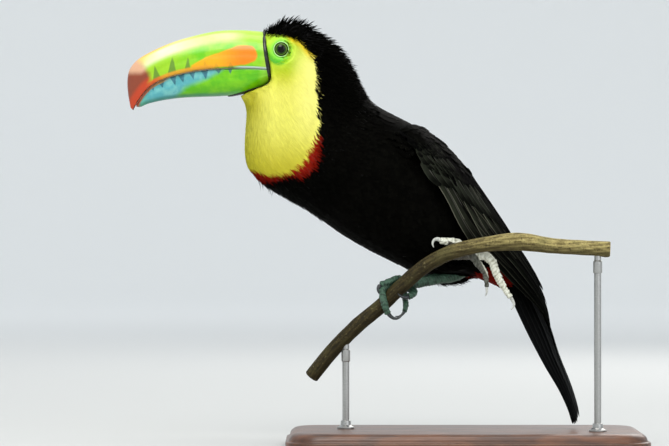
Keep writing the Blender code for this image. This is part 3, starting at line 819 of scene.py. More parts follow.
@dataclass
class Skin:
    """One skin for head, neck, trunk and thighs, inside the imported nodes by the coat's depth."""

    voxel: float = 0.0014
    weld: float = 0.00035
    bare: float = 0.0003
    bib: float = 0.0018
    body: float = 0.0024
    crown: float = 0.0042
    opening: float = 0.0056
    lid: float = 0.0014
    socket: float = 0.0135
    cheek: float = 0.010
    fold: float = 0.00022
    fold_pitch: float = 0.00062
    nodes: tuple[str, ...] = ("head", "neck", "trunk", "thigh_left", "thigh_right")

    def depth(self, points: Array, marks: dict[str, Array]) -> Array:
        """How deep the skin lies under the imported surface, at points of that surface."""
        station, share, _ = LIE.locate(points)
        gold, patch = marks["gold"], marks["patch"]
        deep = self.body + (self.bib - self.body) * ramp(gold, -2, 3)
        crest = ramp(station, 6.5, 3.6) * ramp(share, 0.42, 0.16) * ramp(gold, 1.0, -3.0)
        deep = deep + (self.crown - deep) * crest
        bare = np.maximum(ramp(patch, -5, -1), ramp(marks["eye"], 15, 11))
        near_bill = ramp(points[:, 0], -0.158, -0.163) * ramp(gold, -1, 1)
        return deep + (self.bare - deep) * np.maximum(bare, near_bill)

    def shape_lids(self, points: Array) -> Array:
        """Opens the skin round each eyeball, with a ring of lid and soft folds outside it."""
        points = points.copy()
        for side in Side:
            out = (points[:, 1] - MIDLINE) * side.value
            flat = points[:, (0, 2)] - EYE[[0, 2]]
            away = np.linalg.norm(flat, axis=1)
            turn = np.arctan2(flat[:, 1], flat[:, 0])
            near = (away < 0.015) & (out > self.cheek)
            ball = EYE_OUT + np.sqrt(np.maximum(EYEBALL**2 - away**2, 0))
            margin = EYE_OUT + math.sqrt(EYEBALL**2 - self.opening**2) + 0.0003
            height = ball - 0.0011 * ramp(away, self.opening, self.opening - 0.0006)
            ring = margin + self.lid * 0.45 * np.sin(
                np.pi * np.clip((away - self.opening) / self.lid, 0, 1)
            )
            height = np.where(away < self.opening, np.minimum(height, margin), ring)
            back_to_face = ramp(away, self.opening + self.lid * 0.75, self.socket)
            wrinkled = ramp(away, 0.0071, 0.0080) * ramp(away, 0.0140, 0.0105)
            folds = self.fold * np.sin(away / self.fold_pitch + 1.3 * np.sin(3 * turn)) * wrinkled
            aim = height * (1 - back_to_face) + out * back_to_face + folds
            points[near, 1] = MIDLINE + side.value * aim[near]
        return points

    def build(self) -> bpy.types.Mesh:
        """Builds the skin and adds it.

        Returns:
            Its mesh.
        """
        mesh = grown_together(self.nodes, self.weld, self.voxel)
        with edited(mesh) as work:
            for _ in range(2):
                near = [
                    e for e in work.edges
                    if all(math.hypot(v.co.x - EYE[0], v.co.z - EYE[2]) < self.socket for v in e.verts)
                    and abs(e.verts[0].co.y - MIDLINE) > self.cheek
                ]
                bmesh.ops.subdivide_edges(work, edges=near, cuts=1, use_grid_fill=True)
            bmesh.ops.triangulate(work, faces=[f for f in work.faces if len(f.verts) > 4])
        mesh.name = "skin"
        edges = edges_of(mesh)
        move_points(mesh, relaxed(points_of(mesh), edges, 7))
        points, normals = points_of(mesh), normals_of(mesh)
        depth = relaxed(self.depth(points, MARKINGS.measure(points))[:, None], edges, 4)
        points = self.shape_lids(relaxed(points - normals * depth, edges, 2))
        move_points(mesh, points)
        mesh.shade_smooth()
        store(mesh, MARKINGS.measure(points))
        add_piece(mesh, SkinFinish(), "face_skin", self.nodes)
        return mesh


def grown_together(nodes: Sequence[str], swell: float, voxel: float) -> bpy.types.Mesh:
    """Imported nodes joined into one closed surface.

    Args:
        nodes: Their names.
        swell: How far each is swollen first, so that they meet.
        voxel: The size of the new surface's faces.

    Returns:
        The new mesh.
    """
    work = bmesh.new()
    for name in nodes:
        one = bmesh.new()
        one.from_mesh(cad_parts[name].data)
        bmesh.ops.remove_doubles(one, verts=one.verts, dist=WELD)
        one.normal_update()
        for vertex in one.verts:
            vertex.co += vertex.normal * swell
        part = bpy.data.meshes.new(name)
        one.to_mesh(part)
        one.free()
        work.from_mesh(part)
    mesh = bpy.data.meshes.new("cage")
    work.to_mesh(mesh)
    work.free()
    return modified(mesh, "REMESH", mode="VOXEL", voxel_size=voxel, use_smooth_shade=True)


# ---------------------------------------------------------------- plumage


@dataclass(frozen=True)
class PlumageFinish(Finish):
    """Body plumage, with the same markings as the skin."""

    gloss: float = 0.45

    def paint(self, shader: Shader) -> None:
        """Black, a little lighter and browner towards the tips of some tufts, and the bright areas,
        darker at the roots.
        """
        tip, lean, shade = shader.marks("tip", "side", "shade")
        black = shader.blend((2, 2, 1), (7, 7, 5), shade * tip)
        colour = paint_markings(shader, black, 0.3)
        bright = shader.mark("gold").step(-0.5, 0.5)
        strand = (shade - 0.5) * 0.12 + 1.0
        root = tip.step(0.0, 0.45) * 0.06 + 0.94
        colour = shader.tinted(colour, strand * (root + (1 - bright) * (1 - root)))
        barbs = (abs(lean) * 9.0 + tip * 60.0 + shade * 6.0).wave()
        shader.finish(
            Base_Color=colour,
            Roughness=bright * 0.15 + (1 - shade * 0.2) * 0.12 + self.gloss,
            Normal=shader.bump(barbs, 0.00003),
            Specular_IOR_Level=0.012,
        )


class Outline(Enum):
    """The plan of a tuft: pairs of how far along it and how wide, from the root to the tip."""

    CONTOUR = ((0.0, 0.45), (0.28, 0.88), (0.56, 1.0), (0.80, 0.82), (0.94, 0.44), (1.0, 0.0))
    HAIR = ((0.0, 0.70), (0.33, 1.0), (0.68, 0.72), (1.0, 0.0))
    SPIKE = ((0.0, 0.80), (0.25, 1.0), (0.52, 0.85), (0.78, 0.52), (1.0, 0.0))
    COVERT = (
        (0.0, 0.50), (0.20, 0.86), (0.42, 1.0), (0.64, 0.98), (0.82, 0.82), (0.94, 0.50),
        (1.0, 0.0),
    )


@dataclass(frozen=True)
class Section:
    """A tuft's section: how far across each corner lies, -1 to 1, and its rise in metres."""

    across: tuple[float, ...] = (-1.0, 0.0, 1.0)
    rise: tuple[float, ...] = (0.0, 0.00012, 0.0)
    edges: tuple[int, ...] = (0, 2)
    soft: float = 0.6


BLADE = Section()
LEAF = Section((-1.0, 0.0, 1.0, 0.0), (0.0, 0.00020, 0.0, -0.00020))
STRAND = Section(rise=(0.0, 0.00030, 0.0), soft=0.3)
SILK = Section(rise=(0.0, 0.00010, 0.0), soft=0.9)
VANE = Section(
    across=(-1.0, -0.52, -0.10, 0.0, 0.10, 0.52, 1.0, 0.0),
    rise=(0.0, 0.00026, 0.00034, 0.00062, 0.00034, 0.00026, 0.0, -0.00022),
    edges=(0, 6),
    soft=0.0,
)


def tuft_faces(rows: int, columns: int) -> tuple[Array, Array]:
    """The faces of a tuft whose last row is one point.

    Args:
        rows: How many rows it has, with its tip.
        columns: How many points the other rows have.

    Returns:
        The quads of its sides, and the triangles of its tip and its root.
    """
    turn = np.arange(columns)
    last = (rows - 2) * columns
    tip = np.stack([last + (turn + 1) % columns, last + turn, np.full(columns, last + columns)], 1)
    fan = np.stack([np.zeros(columns - 2, int), turn[1:-1], turn[2:]], 1)
    return grid_faces(rows - 1, columns, closed=True)[:, ::-1], np.concatenate([tip, fan])


class Coat:
    """One piece of joined tufts, each a thin closed body with its own patch of the OFBake map."""

    PATCH = 0.003

    def __init__(self, name: str) -> None:
        """Starts an empty coat of that name."""
        self.name = name
        self.soft = True
        self.parts: list[dict[str, Array]] = []

    def add(
        self,
        middle: Array,
        up: Array,
        half_width: Array,
        section: Section,
        spots: Array,
        marks: dict[str, Array],
        along: Array,
        rise: float | Array = 1.0,
        sense: float = 1.0,
    ) -> None:
        """Adds tufts that share one plan.

        Args:
            middle: Their midlines, N tufts by R rows by 3; the last row is the tip.
            up: The way that they face, N by R by 3.
            half_width: Half their widths in metres, N by R.
            section: Their section.
            spots: Their roots' places on the skin's unwrap, N by 2.
            marks: Numbers for each tuft, N each, or for each row, N by R.
            along: Each row's share of the way from root to tip, R.
            rise: A factor on the section's rise, one or N.
            sense: 1, or -1 to mark the two edges the other way round.
        """
        count, rows = middle.shape[:2]
        ahead = unit(np.gradient(middle, axis=1))
        across = unit(np.cross(up, ahead))
        face = unit(np.cross(ahead, across))
        columns = len(section.across)
        body = slice(0, rows - 1)
        reach = np.asarray(section.across)[None, None, :, None]
        lift = np.asarray(section.rise)[None, None, :, None]
        lift = lift * np.reshape(rise, (-1, 1, 1, 1))
        width = half_width[:, body, None, None]
        fullness = np.minimum(1.0, half_width[:, body] / half_width.max(1, keepdims=True) * 1.6)
        rings = (
            middle[:, body, None]
            + across[:, body, None] * reach * width
            + face[:, body, None] * lift * fullness[:, :, None, None]
        )
        points = np.concatenate([rings.reshape(count, -1, 3), middle[:, -1:]], 1)
        shading = unit(face * (1 - section.soft) + unit(up) * section.soft)
        shading = np.concatenate([np.repeat(shading[:, body], columns, axis=1), shading[:, -1:]], 1)
        self.soft = section.soft > 0
        size = points.shape[1]
        quads, triangles = tuft_faces(rows, columns)
        start = (np.arange(count) * size)[:, None, None]
        side = np.append(np.tile(section.across, rows - 1), 0.0) * sense
        tips = np.append(np.repeat(along[body], columns), along[-1])
        kind = np.append(np.tile(np.arange(columns), rows - 1), -1)
        part = {
            "points": points.reshape(-1, 3),
            "shading": shading.reshape(-1, 3),
            "quads": (quads + start).reshape(-1, 4),
            "triangles": (triangles + start).reshape(-1, 3),
            "side": np.tile(side, count),
            "tip": np.tile(tips, count),
            "sharp": np.tile(np.where(np.isin(kind, section.edges), kind, -1), count),
            "spot": np.repeat(spots, size, axis=0),
        }
        for name, values in marks.items():
            if values.ndim == 1:
                part["mark:" + name] = np.repeat(values, size)
            else:
                spread = np.repeat(values[:, body], columns, axis=1)
                part["mark:" + name] = np.concatenate([spread, values[:, -1:]], 1).ravel()
        self.parts.append(part)

    def finish(self, finish: Finish, slot: str, replaces: Sequence[str] = ()) -> None:
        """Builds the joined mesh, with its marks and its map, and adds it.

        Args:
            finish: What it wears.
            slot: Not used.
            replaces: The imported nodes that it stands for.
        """
        start = 0
        for part in self.parts:
            part["quads"], part["triangles"] = part["quads"] + start, part["triangles"] + start
            start += len(part["points"])
        join = {key: np.concatenate([p[key] for p in self.parts]) for key in self.parts[0]}
        quads, triangles = join["quads"], join["triangles"]
        mesh = fast_mesh(self.name, join["points"], [quads, triangles])
        store(mesh, {"side": join["side"], "tip": join["tip"]})
        store(mesh, {key[5:]: join[key] for key in join if key.startswith("mark:")})
        if self.soft:
            mesh.normals_split_custom_set_from_vertices(join["shading"].tolist())
        else:
            kinds = join["sharp"][edges_of(mesh)]
            sharp = (kinds[:, 0] == kinds[:, 1]) & (kinds[:, 0] >= 0)
            mesh.attributes.new("sharp_edge", "BOOLEAN", "EDGE").data.foreach_set("value", sharp)
        spot = join["spot"]
        low, high = spot.min(0), spot.max(0)
        spot = 0.01 + 0.98 * (spot - low) / np.maximum(high - low, 1e-9)
        patch = np.stack([join["side"] * 0.5, join["tip"] - 0.5], 1) * self.PATCH
        corners = np.concatenate([quads.ravel(), triangles.ravel()])
        layer = mesh.uv_layers.new(name="OFBake")
        layer.uv.foreach_set("vector", (spot + patch)[corners].astype(np.float32).ravel())
        add_piece(mesh, finish, slot, replaces)


@dataclass
class Roots:
    """Places on the skin where tufts may grow, with what is known of each."""

    CROWDING: ClassVar[float] = 4.5

    place: Array
    normal: Array
    station: Array
    share: Array
    heading: Array
    marks: dict[str, Array]

    @classmethod
    def scatter(cls, hull: Hull, tract: "Tract", draws: np.random.Generator) -> "Roots":
        """Draws places evenly over a surface, several for each tuft, marked by where it will show."""
        corners = hull.points[hull.triangles]
        area = np.linalg.norm(
            np.cross(corners[:, 1] - corners[:, 0], corners[:, 2] - corners[:, 0]), axis=1
        ) / 2
        count = int(area.sum() / tract.spacing**2 * cls.CROWDING)
        picked = draws.choice(len(area), count, p=area / area.sum())
        one, two = draws.random(count), draws.random(count)
        fold = one + two > 1
        one, two = np.where(fold, 1 - one, one), np.where(fold, 1 - two, two)
        shares = np.stack([1 - one - two, one, two], 1)[:, :, None]
        place = (corners[picked] * shares).sum(1)
        normal = unit((hull.normals[hull.triangles[picked]] * shares).sum(1))
        station, share, heading = LIE.locate(place)
        ahead = flattened(heading, normal)
        shown = place + ahead * tract.reach * 0.62 + normal * tract.rise * 0.6
        return cls(place, normal, station, share, heading, MARKINGS.measure(shown))

    def pick(self, which: Array) -> "Roots":
        """Only some of them, by a mask or by their numbers."""
        marks = {name: values[which] for name, values in self.marks.items()}
        chosen = (v[which] for v in (self.place, self.normal, self.station, self.share, self.heading))
        return Roots(*chosen, marks)

    def spread(self, spacing: Array, draws: np.random.Generator) -> "Roots":
        """Only as many as stand at least the spacing apart."""
        places, tree = self.place.tolist(), KDTree(len(self.place))
        for number, place in enumerate(places):
            tree.insert(place, number)
        tree.balance()
        kept, gone = [], np.zeros(len(self.place), bool)
        for number in draws.permutation(len(self.place)).tolist():
            if gone[number]:
                continue
            kept.append(number)
            for _, other, _ in tree.find_range(places[number], float(spacing[number])):
                gone[other] = True
        return self.pick(np.array(sorted(kept), int))

    def spots(self) -> Array:
        """Their places on the skin's unwrap: the turn round the body, and the station along it."""
        side = np.where(self.place[:, 1] < MIDLINE, -1.0, 1.0)
        turn = np.arccos(np.clip(1 - 2 * self.share, -1, 1)) * side
        return np.stack([turn, self.station], 1)


@dataclass(frozen=True)
class Tract:
    """One kind of tuft and how it grows."""

    spacing: float
    reach: float
    half_width: float
    rise: float
    outline: Outline = Outline.CONTOUR
    section: Section = BLADE
    root: float = -0.0006
    power: float = 1.3
    sway: float = 0.14
    roll: float = 0.10
    ruffle: float = 0.25

    def grow(
        self,
        coat: Coat,
        hull: Hull,
        roots: Roots,
        draws: np.random.Generator,
        size: Array,
        keep: Callable[[Array], Array],
    ) -> int:
        """Grows one tuft from each root, along the surface, and adds them to a coat.

        Args:
            coat: The coat.
            hull: The surface that they grow on.
            roots: Their roots.
            draws: Where their differences are drawn from.
            size: A factor on each tuft's size.
            keep: Says from the midlines, N by R by 3, which tufts stay.

        Returns:
            How many were added.
        """
        count = len(roots.place)
        if not count:
            return 0
        plan = np.array(self.outline.value)
        along, breadth = plan[:, 0], plan[:, 1]
        size = size * (1 + 0.16 * (draws.random(count) - 0.5) * 2)
        height = self.rise * size * (1 + self.ruffle * draws.standard_normal(count)).clip(0.35, 1.9)
        swing = draws.normal(0, self.sway, count)[:, None]
        tilt = draws.normal(0, self.roll, count)[:, None]
        shade = draws.random(count)
        place, normal = roots.place, roots.normal
        ahead = flattened(roots.heading, normal)
        ahead = unit(ahead * np.cos(swing) + np.cross(normal, ahead) * np.sin(swing))
        middle = np.empty((count, len(along), 3))
        up = np.empty_like(middle)
        for row, share in enumerate(along):
            if row:
                step = (share - along[row - 1]) * self.reach * size
                place, found = hull.nearest(place + ahead * step[:, None])
                normal = unit(normal + found)
                ahead = flattened(ahead, normal)
            lift = self.root + (height - self.root) * share**self.power
            middle[:, row] = place + normal * lift[:, None]
            up[:, row] = unit(normal + np.cross(normal, ahead) * np.tan(tilt.clip(-1.3, 1.3)))
        stays = keep(middle)
        wide = self.half_width * size[:, None] * breadth
        marks = {name: values[stays] for name, values in roots.marks.items()}
        marks["shade"] = shade[stays]
        coat.add(
            middle[stays], up[stays], wide[stays], self.section, roots.spots()[stays], marks, along,
            rise=size[stays] * 0.5 + 0.5,
        )
        return int(stays.sum())


def same_size(roots: Roots) -> Array:
    """Every tuft at its tract's own size."""
    return np.ones(len(roots.place))


def clear_of(
    hull: Hull, low: Array, high: Array, room: float, reach: float
) -> Callable[[Array], Array]:
    """A test for tufts that keeps those that stay outside a solid.

    Args:
        hull: The solid's surface.
        low: The lowest corner of the box in which tufts are tested.
        high: Its highest corner.
        room: The least gap between a tuft's midline and the solid.
        reach: How near the surface a place has to be to count as inside.

    Returns:
        The test, from midlines N by R by 3 to a mask.
    """

    def test(middle: Array) -> Array:
        """Which tufts stay clear."""
        near = ((middle > low) & (middle < high)).all(2).any(1)
        stays = np.ones(len(middle), bool)
        chosen = np.flatnonzero(near)
        if len(chosen):
            spots = middle[chosen].reshape(-1, 3)
            place, normal = hull.nearest(spots)
            gap = ((spots - place) * normal).sum(1)
            far = np.linalg.norm(spots - place, axis=1) > reach
            stays[chosen] = np.where(far, 1.0, gap).reshape(len(chosen), -1).min(1) > room
        return stays

    return test


@dataclass
class Plumage:
    """The small feathers of head and body, tract by tract, over the skin."""

    skin: bpy.types.Mesh
    crest: Tract = Tract(
        0.00125, 0.0046, 0.00046, 0.0060, Outline.SPIKE, STRAND, power=0.85, sway=0.30, roll=0.6
    )
    nape: Tract = Tract(
        0.00135, 0.0078, 0.00050, 0.0050, Outline.SPIKE, STRAND, power=1.1, sway=0.20, roll=0.5
    )
    neck: Tract = Tract(0.00150, 0.0095, 0.00110, 0.0016, ruffle=0.18)
    body: Tract = Tract(
        0.00220, 0.0150, 0.00290, 0.0008, section=LEAF, sway=0.09, roll=0.04, ruffle=0.12
    )
    bib: Tract = Tract(0.00080, 0.0120, 0.00038, 0.0006, Outline.HAIR, SILK, sway=0.05, roll=0.12)
    band: Tract = Tract(0.00125, 0.0090, 0.00060, 0.0012, Outline.HAIR, STRAND, roll=0.25)
    mantle: Tract = Tract(
        0.00280, 0.0160, 0.00310, 0.0006, section=LEAF, root=-0.0009, sway=0.07, roll=0.02,
        ruffle=0.12,
    )
    wisp: Tract = Tract(
        0.00360, 0.0100, 0.00030, 0.0050, Outline.HAIR, STRAND, sway=0.45, power=1.6
    )
    fringe: Tract = Tract(
        0.00120, 0.0065, 0.00045, 0.0026, Outline.HAIR, STRAND, sway=0.35, power=1.2
    )
    seed: int = 11
    room: float = 0.0004
    margin: float = 0.02
    # Where the mantle's feathers are rooted, over the front of the folded wings, in X and Z.
    shoulder: tuple = (
        (-0.0760, 0.2920), (-0.0450, 0.2850), (-0.0130, 0.2640), (0.0060, 0.2440), (0.0040, 0.2320),
        (-0.0100, 0.2390), (-0.0200, 0.2500), (-0.0340, 0.2620), (-0.0500, 0.2600), (-0.0570, 0.2470),
        (-0.0700, 0.2640),
    )

    def __post_init__(self) -> None:
        """Prepares the surfaces that tufts grow on and keep clear of."""
        self.hull = Hull([self.skin])
        self.grip = node_hull(
            "perch", "leg_left", "leg_right", "foot_left", "foot_right",
            *[f"claw_{side}_{n}" for side in ("left", "right") for n in range(1, 5)],
        )
        low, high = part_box("perch")
        low, high = np.array(low) - self.margin, np.array((high.x, 0.06, high.z + self.margin))
        self.clear = clear_of(self.grip, low, high, self.room, 0.0075)
        self.wings = node_hull("wing_left", "wing_right")

    def covered(self, roots: Roots) -> Array:
        """Which roots the folded wings hide well inside their edges."""
        ahead = flattened(roots.heading, roots.normal)
        across = np.cross(roots.normal, ahead)
        hidden = np.ones(len(roots.place), bool)
        for shift in (0, 0.010 * ahead, -0.007 * ahead, 0.006 * across, -0.006 * across):
            hidden &= self.wings.hit(roots.place + shift, roots.normal, 0.014)[1]
        return hidden

    def tract(
        self,
        coats: Sequence[Coat],
        tract: Tract,
        region: Callable[[Roots], Array],
        size: Callable[[Roots], Array] = same_size,
        hull: Hull | None = None,
    ) -> None:
        """Grows one tract.

        Args:
            coats: Where it goes; with more than one, the first takes -Y and the last +Y.
            tract: What grows.
            region: Says which roots take it.
            size: A factor on its size at each root.
            hull: What it grows on, or None for the skin.
        """
        self.seed += 1
        draws = np.random.default_rng(self.seed)
        roots = Roots.scatter(hull or self.hull, tract, draws)
        roots = roots.pick(region(roots))
        roots = roots.pick(np.lexsort((roots.place[:, 2],)))
        spread = roots.spread(tract.spacing * size(roots), draws)
        if hull is None:
            spread = spread.pick(~self.covered(spread))
        left = spread.place[:, 1] < MIDLINE
        total = 0
        for coat, which in ((coats[0], left), (coats[-1], ~left)):
            half = spread.pick(which)
            total += tract.grow(coat, hull or self.hull, half, draws, size(half), self.clear)
        log.info("tract of %s: %d tufts", coats[0].name, total)

    def head_size(self, roots: Roots) -> Array:
        """Black plumage is shortest by the bill and grows towards the back."""
        return 0.62 + 0.38 * ramp(roots.station, 0.2, 2.0)

    def body_size(self, roots: Roots) -> Array:
        """Body feathers grow from the neck to the back, and less on the belly."""
        back, belly = ramp(roots.station, 5.5, 9.5), ramp(roots.share, 0.6, 1.0)
        return (0.62 + 0.38 * back) * (1 - 0.18 * belly)

    def bib_size(self, roots: Roots) -> Array:
        """Bib tufts are small at the face and longest on the breast."""
        bare = ramp(roots.marks["patch"], -5, -0.5)
        return (0.62 + 0.38 * ramp(roots.place[:, 2], 0.322, 0.284)) * (1 - 0.35 * bare)

    def nape_size(self, roots: Roots) -> Array:
        """Nape tufts shrink down the neck and round its sides."""
        down, round_it = ramp(roots.station, 4.2, 6.8), ramp(roots.share, 0.16, 0.36)
        return (1 - 0.50 * down) * (1 - 0.30 * round_it)

    def hood_size(self, roots: Roots) -> Array:
        """The hood's tufts grow from the bill back."""
        return 0.55 + 0.45 * ramp(roots.station, 1.0, 5.5)

    def dark(self, roots: Roots) -> Array:
        """Outside gold and red."""
        return (roots.marks["gold"] < -0.1) & (roots.marks["red"] < 0.0)

    def crown_zone(self, roots: Roots) -> Array:
        """The crown, where the plumage stands up."""
        return self.dark(roots) & (roots.station < 3.2) & (roots.share < 0.36)

    def nape_zone(self, roots: Roots) -> Array:
        """The nape, down to the foot of the neck."""
        along = (roots.station >= 3.2) & (roots.station < 6.9)
        return self.dark(roots) & along & (roots.share < 0.36)

    def hood_zone(self, roots: Roots) -> Array:
        """The black of head and neck below the crest."""
        crest = (roots.station < 4.2) & (roots.share < 0.24)
        return self.dark(roots) & (roots.station < 8.2) & ~crest

    def body_zone(self, roots: Roots) -> Array:
        """The black of the trunk and thighs."""
        return self.dark(roots) & (roots.station >= 7.4)

    def bib_zone(self, roots: Roots) -> Array:
        """Gold, up to the bare face; the border draws in at the nape."""
        border = -0.1 + 1.5 * ramp(roots.place[:, 2], 0.312, 0.326)
        return (roots.marks["gold"] >= border) & (roots.marks["patch"] < -0.8)

    def band_zone(self, roots: Roots) -> Array:
        """The red border below the bib."""
        return (roots.marks["gold"] < 0.6) & (roots.marks["red"] >= -0.4) & (roots.station < 12)

    def wisp_zone(self, roots: Roots) -> Array:
        """The breast's outline just behind the band."""
        red, low_front = roots.marks["red"], roots.place < (-0.140, math.inf, 0.24)
        return (red < -0.5) & (red > -6) & low_front.all(1)

    def fringe_zone(self, roots: Roots) -> Array:
        """The belly over the thighs."""
        ahead, height = roots.place[:, 0], roots.place[:, 2]
        return (ahead > -0.032) & (ahead < 0.003) & (height < 0.1400)

    def head(self) -> None:
        """The crest with the nape, and the hood."""
        crest, hood = Coat("crest"), Coat("hood")
        self.tract([crest], self.crest, self.crown_zone, self.head_size)
        self.tract([crest], self.nape, self.nape_zone, self.nape_size)
        crest.finish(PlumageFinish(), "face_skin")
        self.tract([hood], self.neck, self.hood_zone, self.hood_size)
        hood.finish(PlumageFinish(), "bib_plumage")

    def trunk(self) -> None:
        """The body's coat, and the mantle that falls over the front of the wings."""
        bodies = [Coat("body_coat_left"), Coat("body_coat_right")]
        self.tract(bodies, self.body, self.body_zone, self.body_size)
        cage = grown_together(("trunk", "neck", "wing_left", "wing_right"), 0.0003, 0.0024)
        move_points(cage, relaxed(points_of(cage), edges_of(cage), 12))
        outer = Hull([cage])

        def over_wing(roots: Roots) -> Array:
            """The outer face over the front of the folded wings."""
            open_air = ~outer.hit(roots.place + roots.normal * 0.001, roots.normal, 0.08)[1]
            outwards = roots.normal[:, 1] * np.sign(roots.place[:, 1] - MIDLINE) > -0.1
            return (depth_inside(roots.place[:, (0, 2)], self.shoulder) > 0) & open_air & outwards

        self.tract(bodies, self.mantle, over_wing, hull=outer)
        for coat in bodies:
            coat.finish(PlumageFinish(), "black_plumage")

    def breast(self) -> None:
        """The bib, and the red band and loose wisps round it."""
        bright = PlumageFinish(gloss=0.62)
        bibs = [Coat("bib_left"), Coat("bib_right")]
        self.tract(bibs, self.bib, self.bib_zone, self.bib_size)
        for coat in bibs:
            coat.finish(bright, "bib_plumage")
        trim = Coat("breast_band")
        self.tract([trim], self.band, self.band_zone)
        self.tract([trim], self.wisp, self.wisp_zone)
        self.tract([trim], self.fringe, self.fringe_zone)
        trim.finish(bright, "bib_plumage")

    def build(self) -> None:
        """Grows every tract and adds the coats."""
        self.head()
        self.trunk()
        self.breast()


# ---------------------------------------------------------------- wings and tail


class Sheet:
    """A curved surface with two coordinates from 0 to 1: along it, and across it."""

    def __init__(self, points: Array, outward_sign: float) -> None:
        """Keeps a grid of points, and works out the normals."""
        self.points = points
        along, across = np.gradient(points, axis=0), np.gradient(points, axis=1)
        self.normals = unit(np.cross(along, across)) * outward_sign
        middle = points[:, points.shape[1] // 2]
        self.length = float(np.linalg.norm(np.diff(middle, axis=0), axis=1).sum())
        self.widths = np.linalg.norm(np.diff(points, axis=1), axis=2).sum(1)

    def at(self, along: Array, across: Array) -> tuple[Array, Array]:
        """The places and normals at coordinates, which may lie a little outside."""
        rows, columns = self.points.shape[:2]
        row, column = np.asarray(along) * (rows - 1), np.asarray(across) * (columns - 1)
        low = np.clip(row.astype(int), 0, rows - 2)
        left = np.clip(column.astype(int), 0, columns - 2)
        up, over = (row - low)[..., None], (column - left)[..., None]

        def mixed(grid: Array) -> Array:
            """Between the four grid points round each place."""
            first = grid[low, left] * (1 - over) + grid[low, left + 1] * over
            second = grid[low + 1, left] * (1 - over) + grid[low + 1, left + 1] * over
            return first * (1 - up) + second * up

        return mixed(self.points), unit(mixed(self.normals))


@dataclass(frozen=True)
class QuillFinish(Finish):
    """Flight feathers and coverts: black with a dark gloss, a painted grey-green sheen, pale edges and
    barbs.
    """

    base: Hue = (6, 6, 5)
    bloom: Hue = (42, 45, 36)
    edge: Hue = (104, 104, 90)
    gloss: float = 0.09

    def paint(self, shader: Shader) -> None:
        """Darker at the inner vane, a painted sheen and a pale line on the outer side, and a paler
        shaft.
        """
        tip, side, shade = shader.marks("tip", "side", "shade")
        # painted shade: the sheen and pale edges fade towards each feather's tip, to darken the wing
        # below the branch
        pale = shader.mark("pale") * (1 - tip.step(0.45, 0.80) * 0.8)
        streak = shader.noise(0.004, 3.0, (1.0, 1.0, 0.25))
        # a pale line along each feather's outer edge
        pale_edge_line = side.step(-0.80, -0.96) * tip.step(0.02, 0.2)
        shaft = abs(side).step(0.10, 0.03)
        colour = shader.layers(
            self.base,
            # painted sheen: a grey-green sheen painted on the outer vanes
            (self.bloom, pale * (0.35 + streak * 0.65) * side.step(1.0, -0.6)),
            ((3, 3, 3), side.step(0.0, 1.0) * 0.6),
            (self.edge, pale_edge_line * pale * (0.55 + shade * 0.45)),
            ((86, 84, 80), shaft * (0.04 + pale * 0.5) * tip.step(1.0, 0.55)),
        )
        barbs = (abs(side) * 7.0 - tip * 150.0).wave()
        split = shader.cells(0.0016) * 0.4
        shader.finish(
            Base_Color=shader.tinted(colour, shade * 0.2 + 0.9),
            Roughness=streak * 0.16 + 0.46,
            Normal=shader.bump(barbs * 0.6 + split, 0.00005),
            Specular_IOR_Level=self.gloss,
        )


@dataclass(frozen=True)
class Quill:
    """One flight feather on a sheet."""

    start: tuple[float, float]
    end: tuple[float, float]
    half_width: float
    layer: float
    pale: float
    bow: float = 0.0


FLIGHT_ROWS = 22


def quill_plan(pointed: float) -> tuple[Array, Array]:
    """How far along a flight feather each row lies and how wide it is there.

    Args:
        pointed: 0 for a round tip, up to 1 for a pointed one.

    Returns:
        The rows' shares along the feather, and their widths as a share of the widest.
    """
    along = 1 - (1 - np.linspace(0, 1, FLIGHT_ROWS)) ** 1.35
    taper = np.sqrt(np.clip(1 - ramp(along, 0.84 - 0.30 * pointed, 1.06), 0, 1))
    ends = np.sqrt(np.clip((1 - along) / 0.05, 0, 1))
    return along, (0.45 + 0.55 * ramp(along, 0, 0.18)) * taper * ends


def lay_quills(
    coat: Coat, sheet: Sheet, quills: Sequence[Quill], sign: float, lean: float, pointed: float
) -> None:
    """Lays flight feathers on a sheet, their outer edges over the next feather's inner vane.

    Args:
        coat: Where they go.
        sheet: What they lie on.
        quills: The feathers.
        sign: 1 or -1, so that the outer edge is the same one on both sides of the bird.
        lean: How much each is tilted, as a slope.
        pointed: How pointed their tips are.
    """

    def column(name: str) -> Array:
        """One of the feathers' sizes, a row for each."""
        return np.array([getattr(quill, name) for quill in quills])[:, None]

    along, breadth = quill_plan(pointed)
    starts, ends = column("start"), column("end")
    at = starts + (ends - starts) * along[None, :, None]
    across = at[..., 1] + column("bow") * np.sin(np.pi * along)[None]
    place, _ = sheet.at(at[..., 0], across)
    steady, inside = np.minimum(at[..., 0], 0.93), across.clip(0, 1)
    under, normal = sheet.at(steady, inside)
    beside, _ = sheet.at(steady, inside + 0.02)
    lift = column("layer") - 0.0012 * ramp(along, 0.22, 0.0)
    middle = place + normal * lift[..., None]
    up = unit(normal + lean * unit(beside - under))
    wide = column("half_width") * breadth
    shade = np.random.default_rng(len(quills)).random(len(quills))
    marks = {"shade": shade, "pale": column("pale")[:, 0]}
    coat.add(middle, up, wide, VANE, starts[:, 0], marks, along, sense=sign)


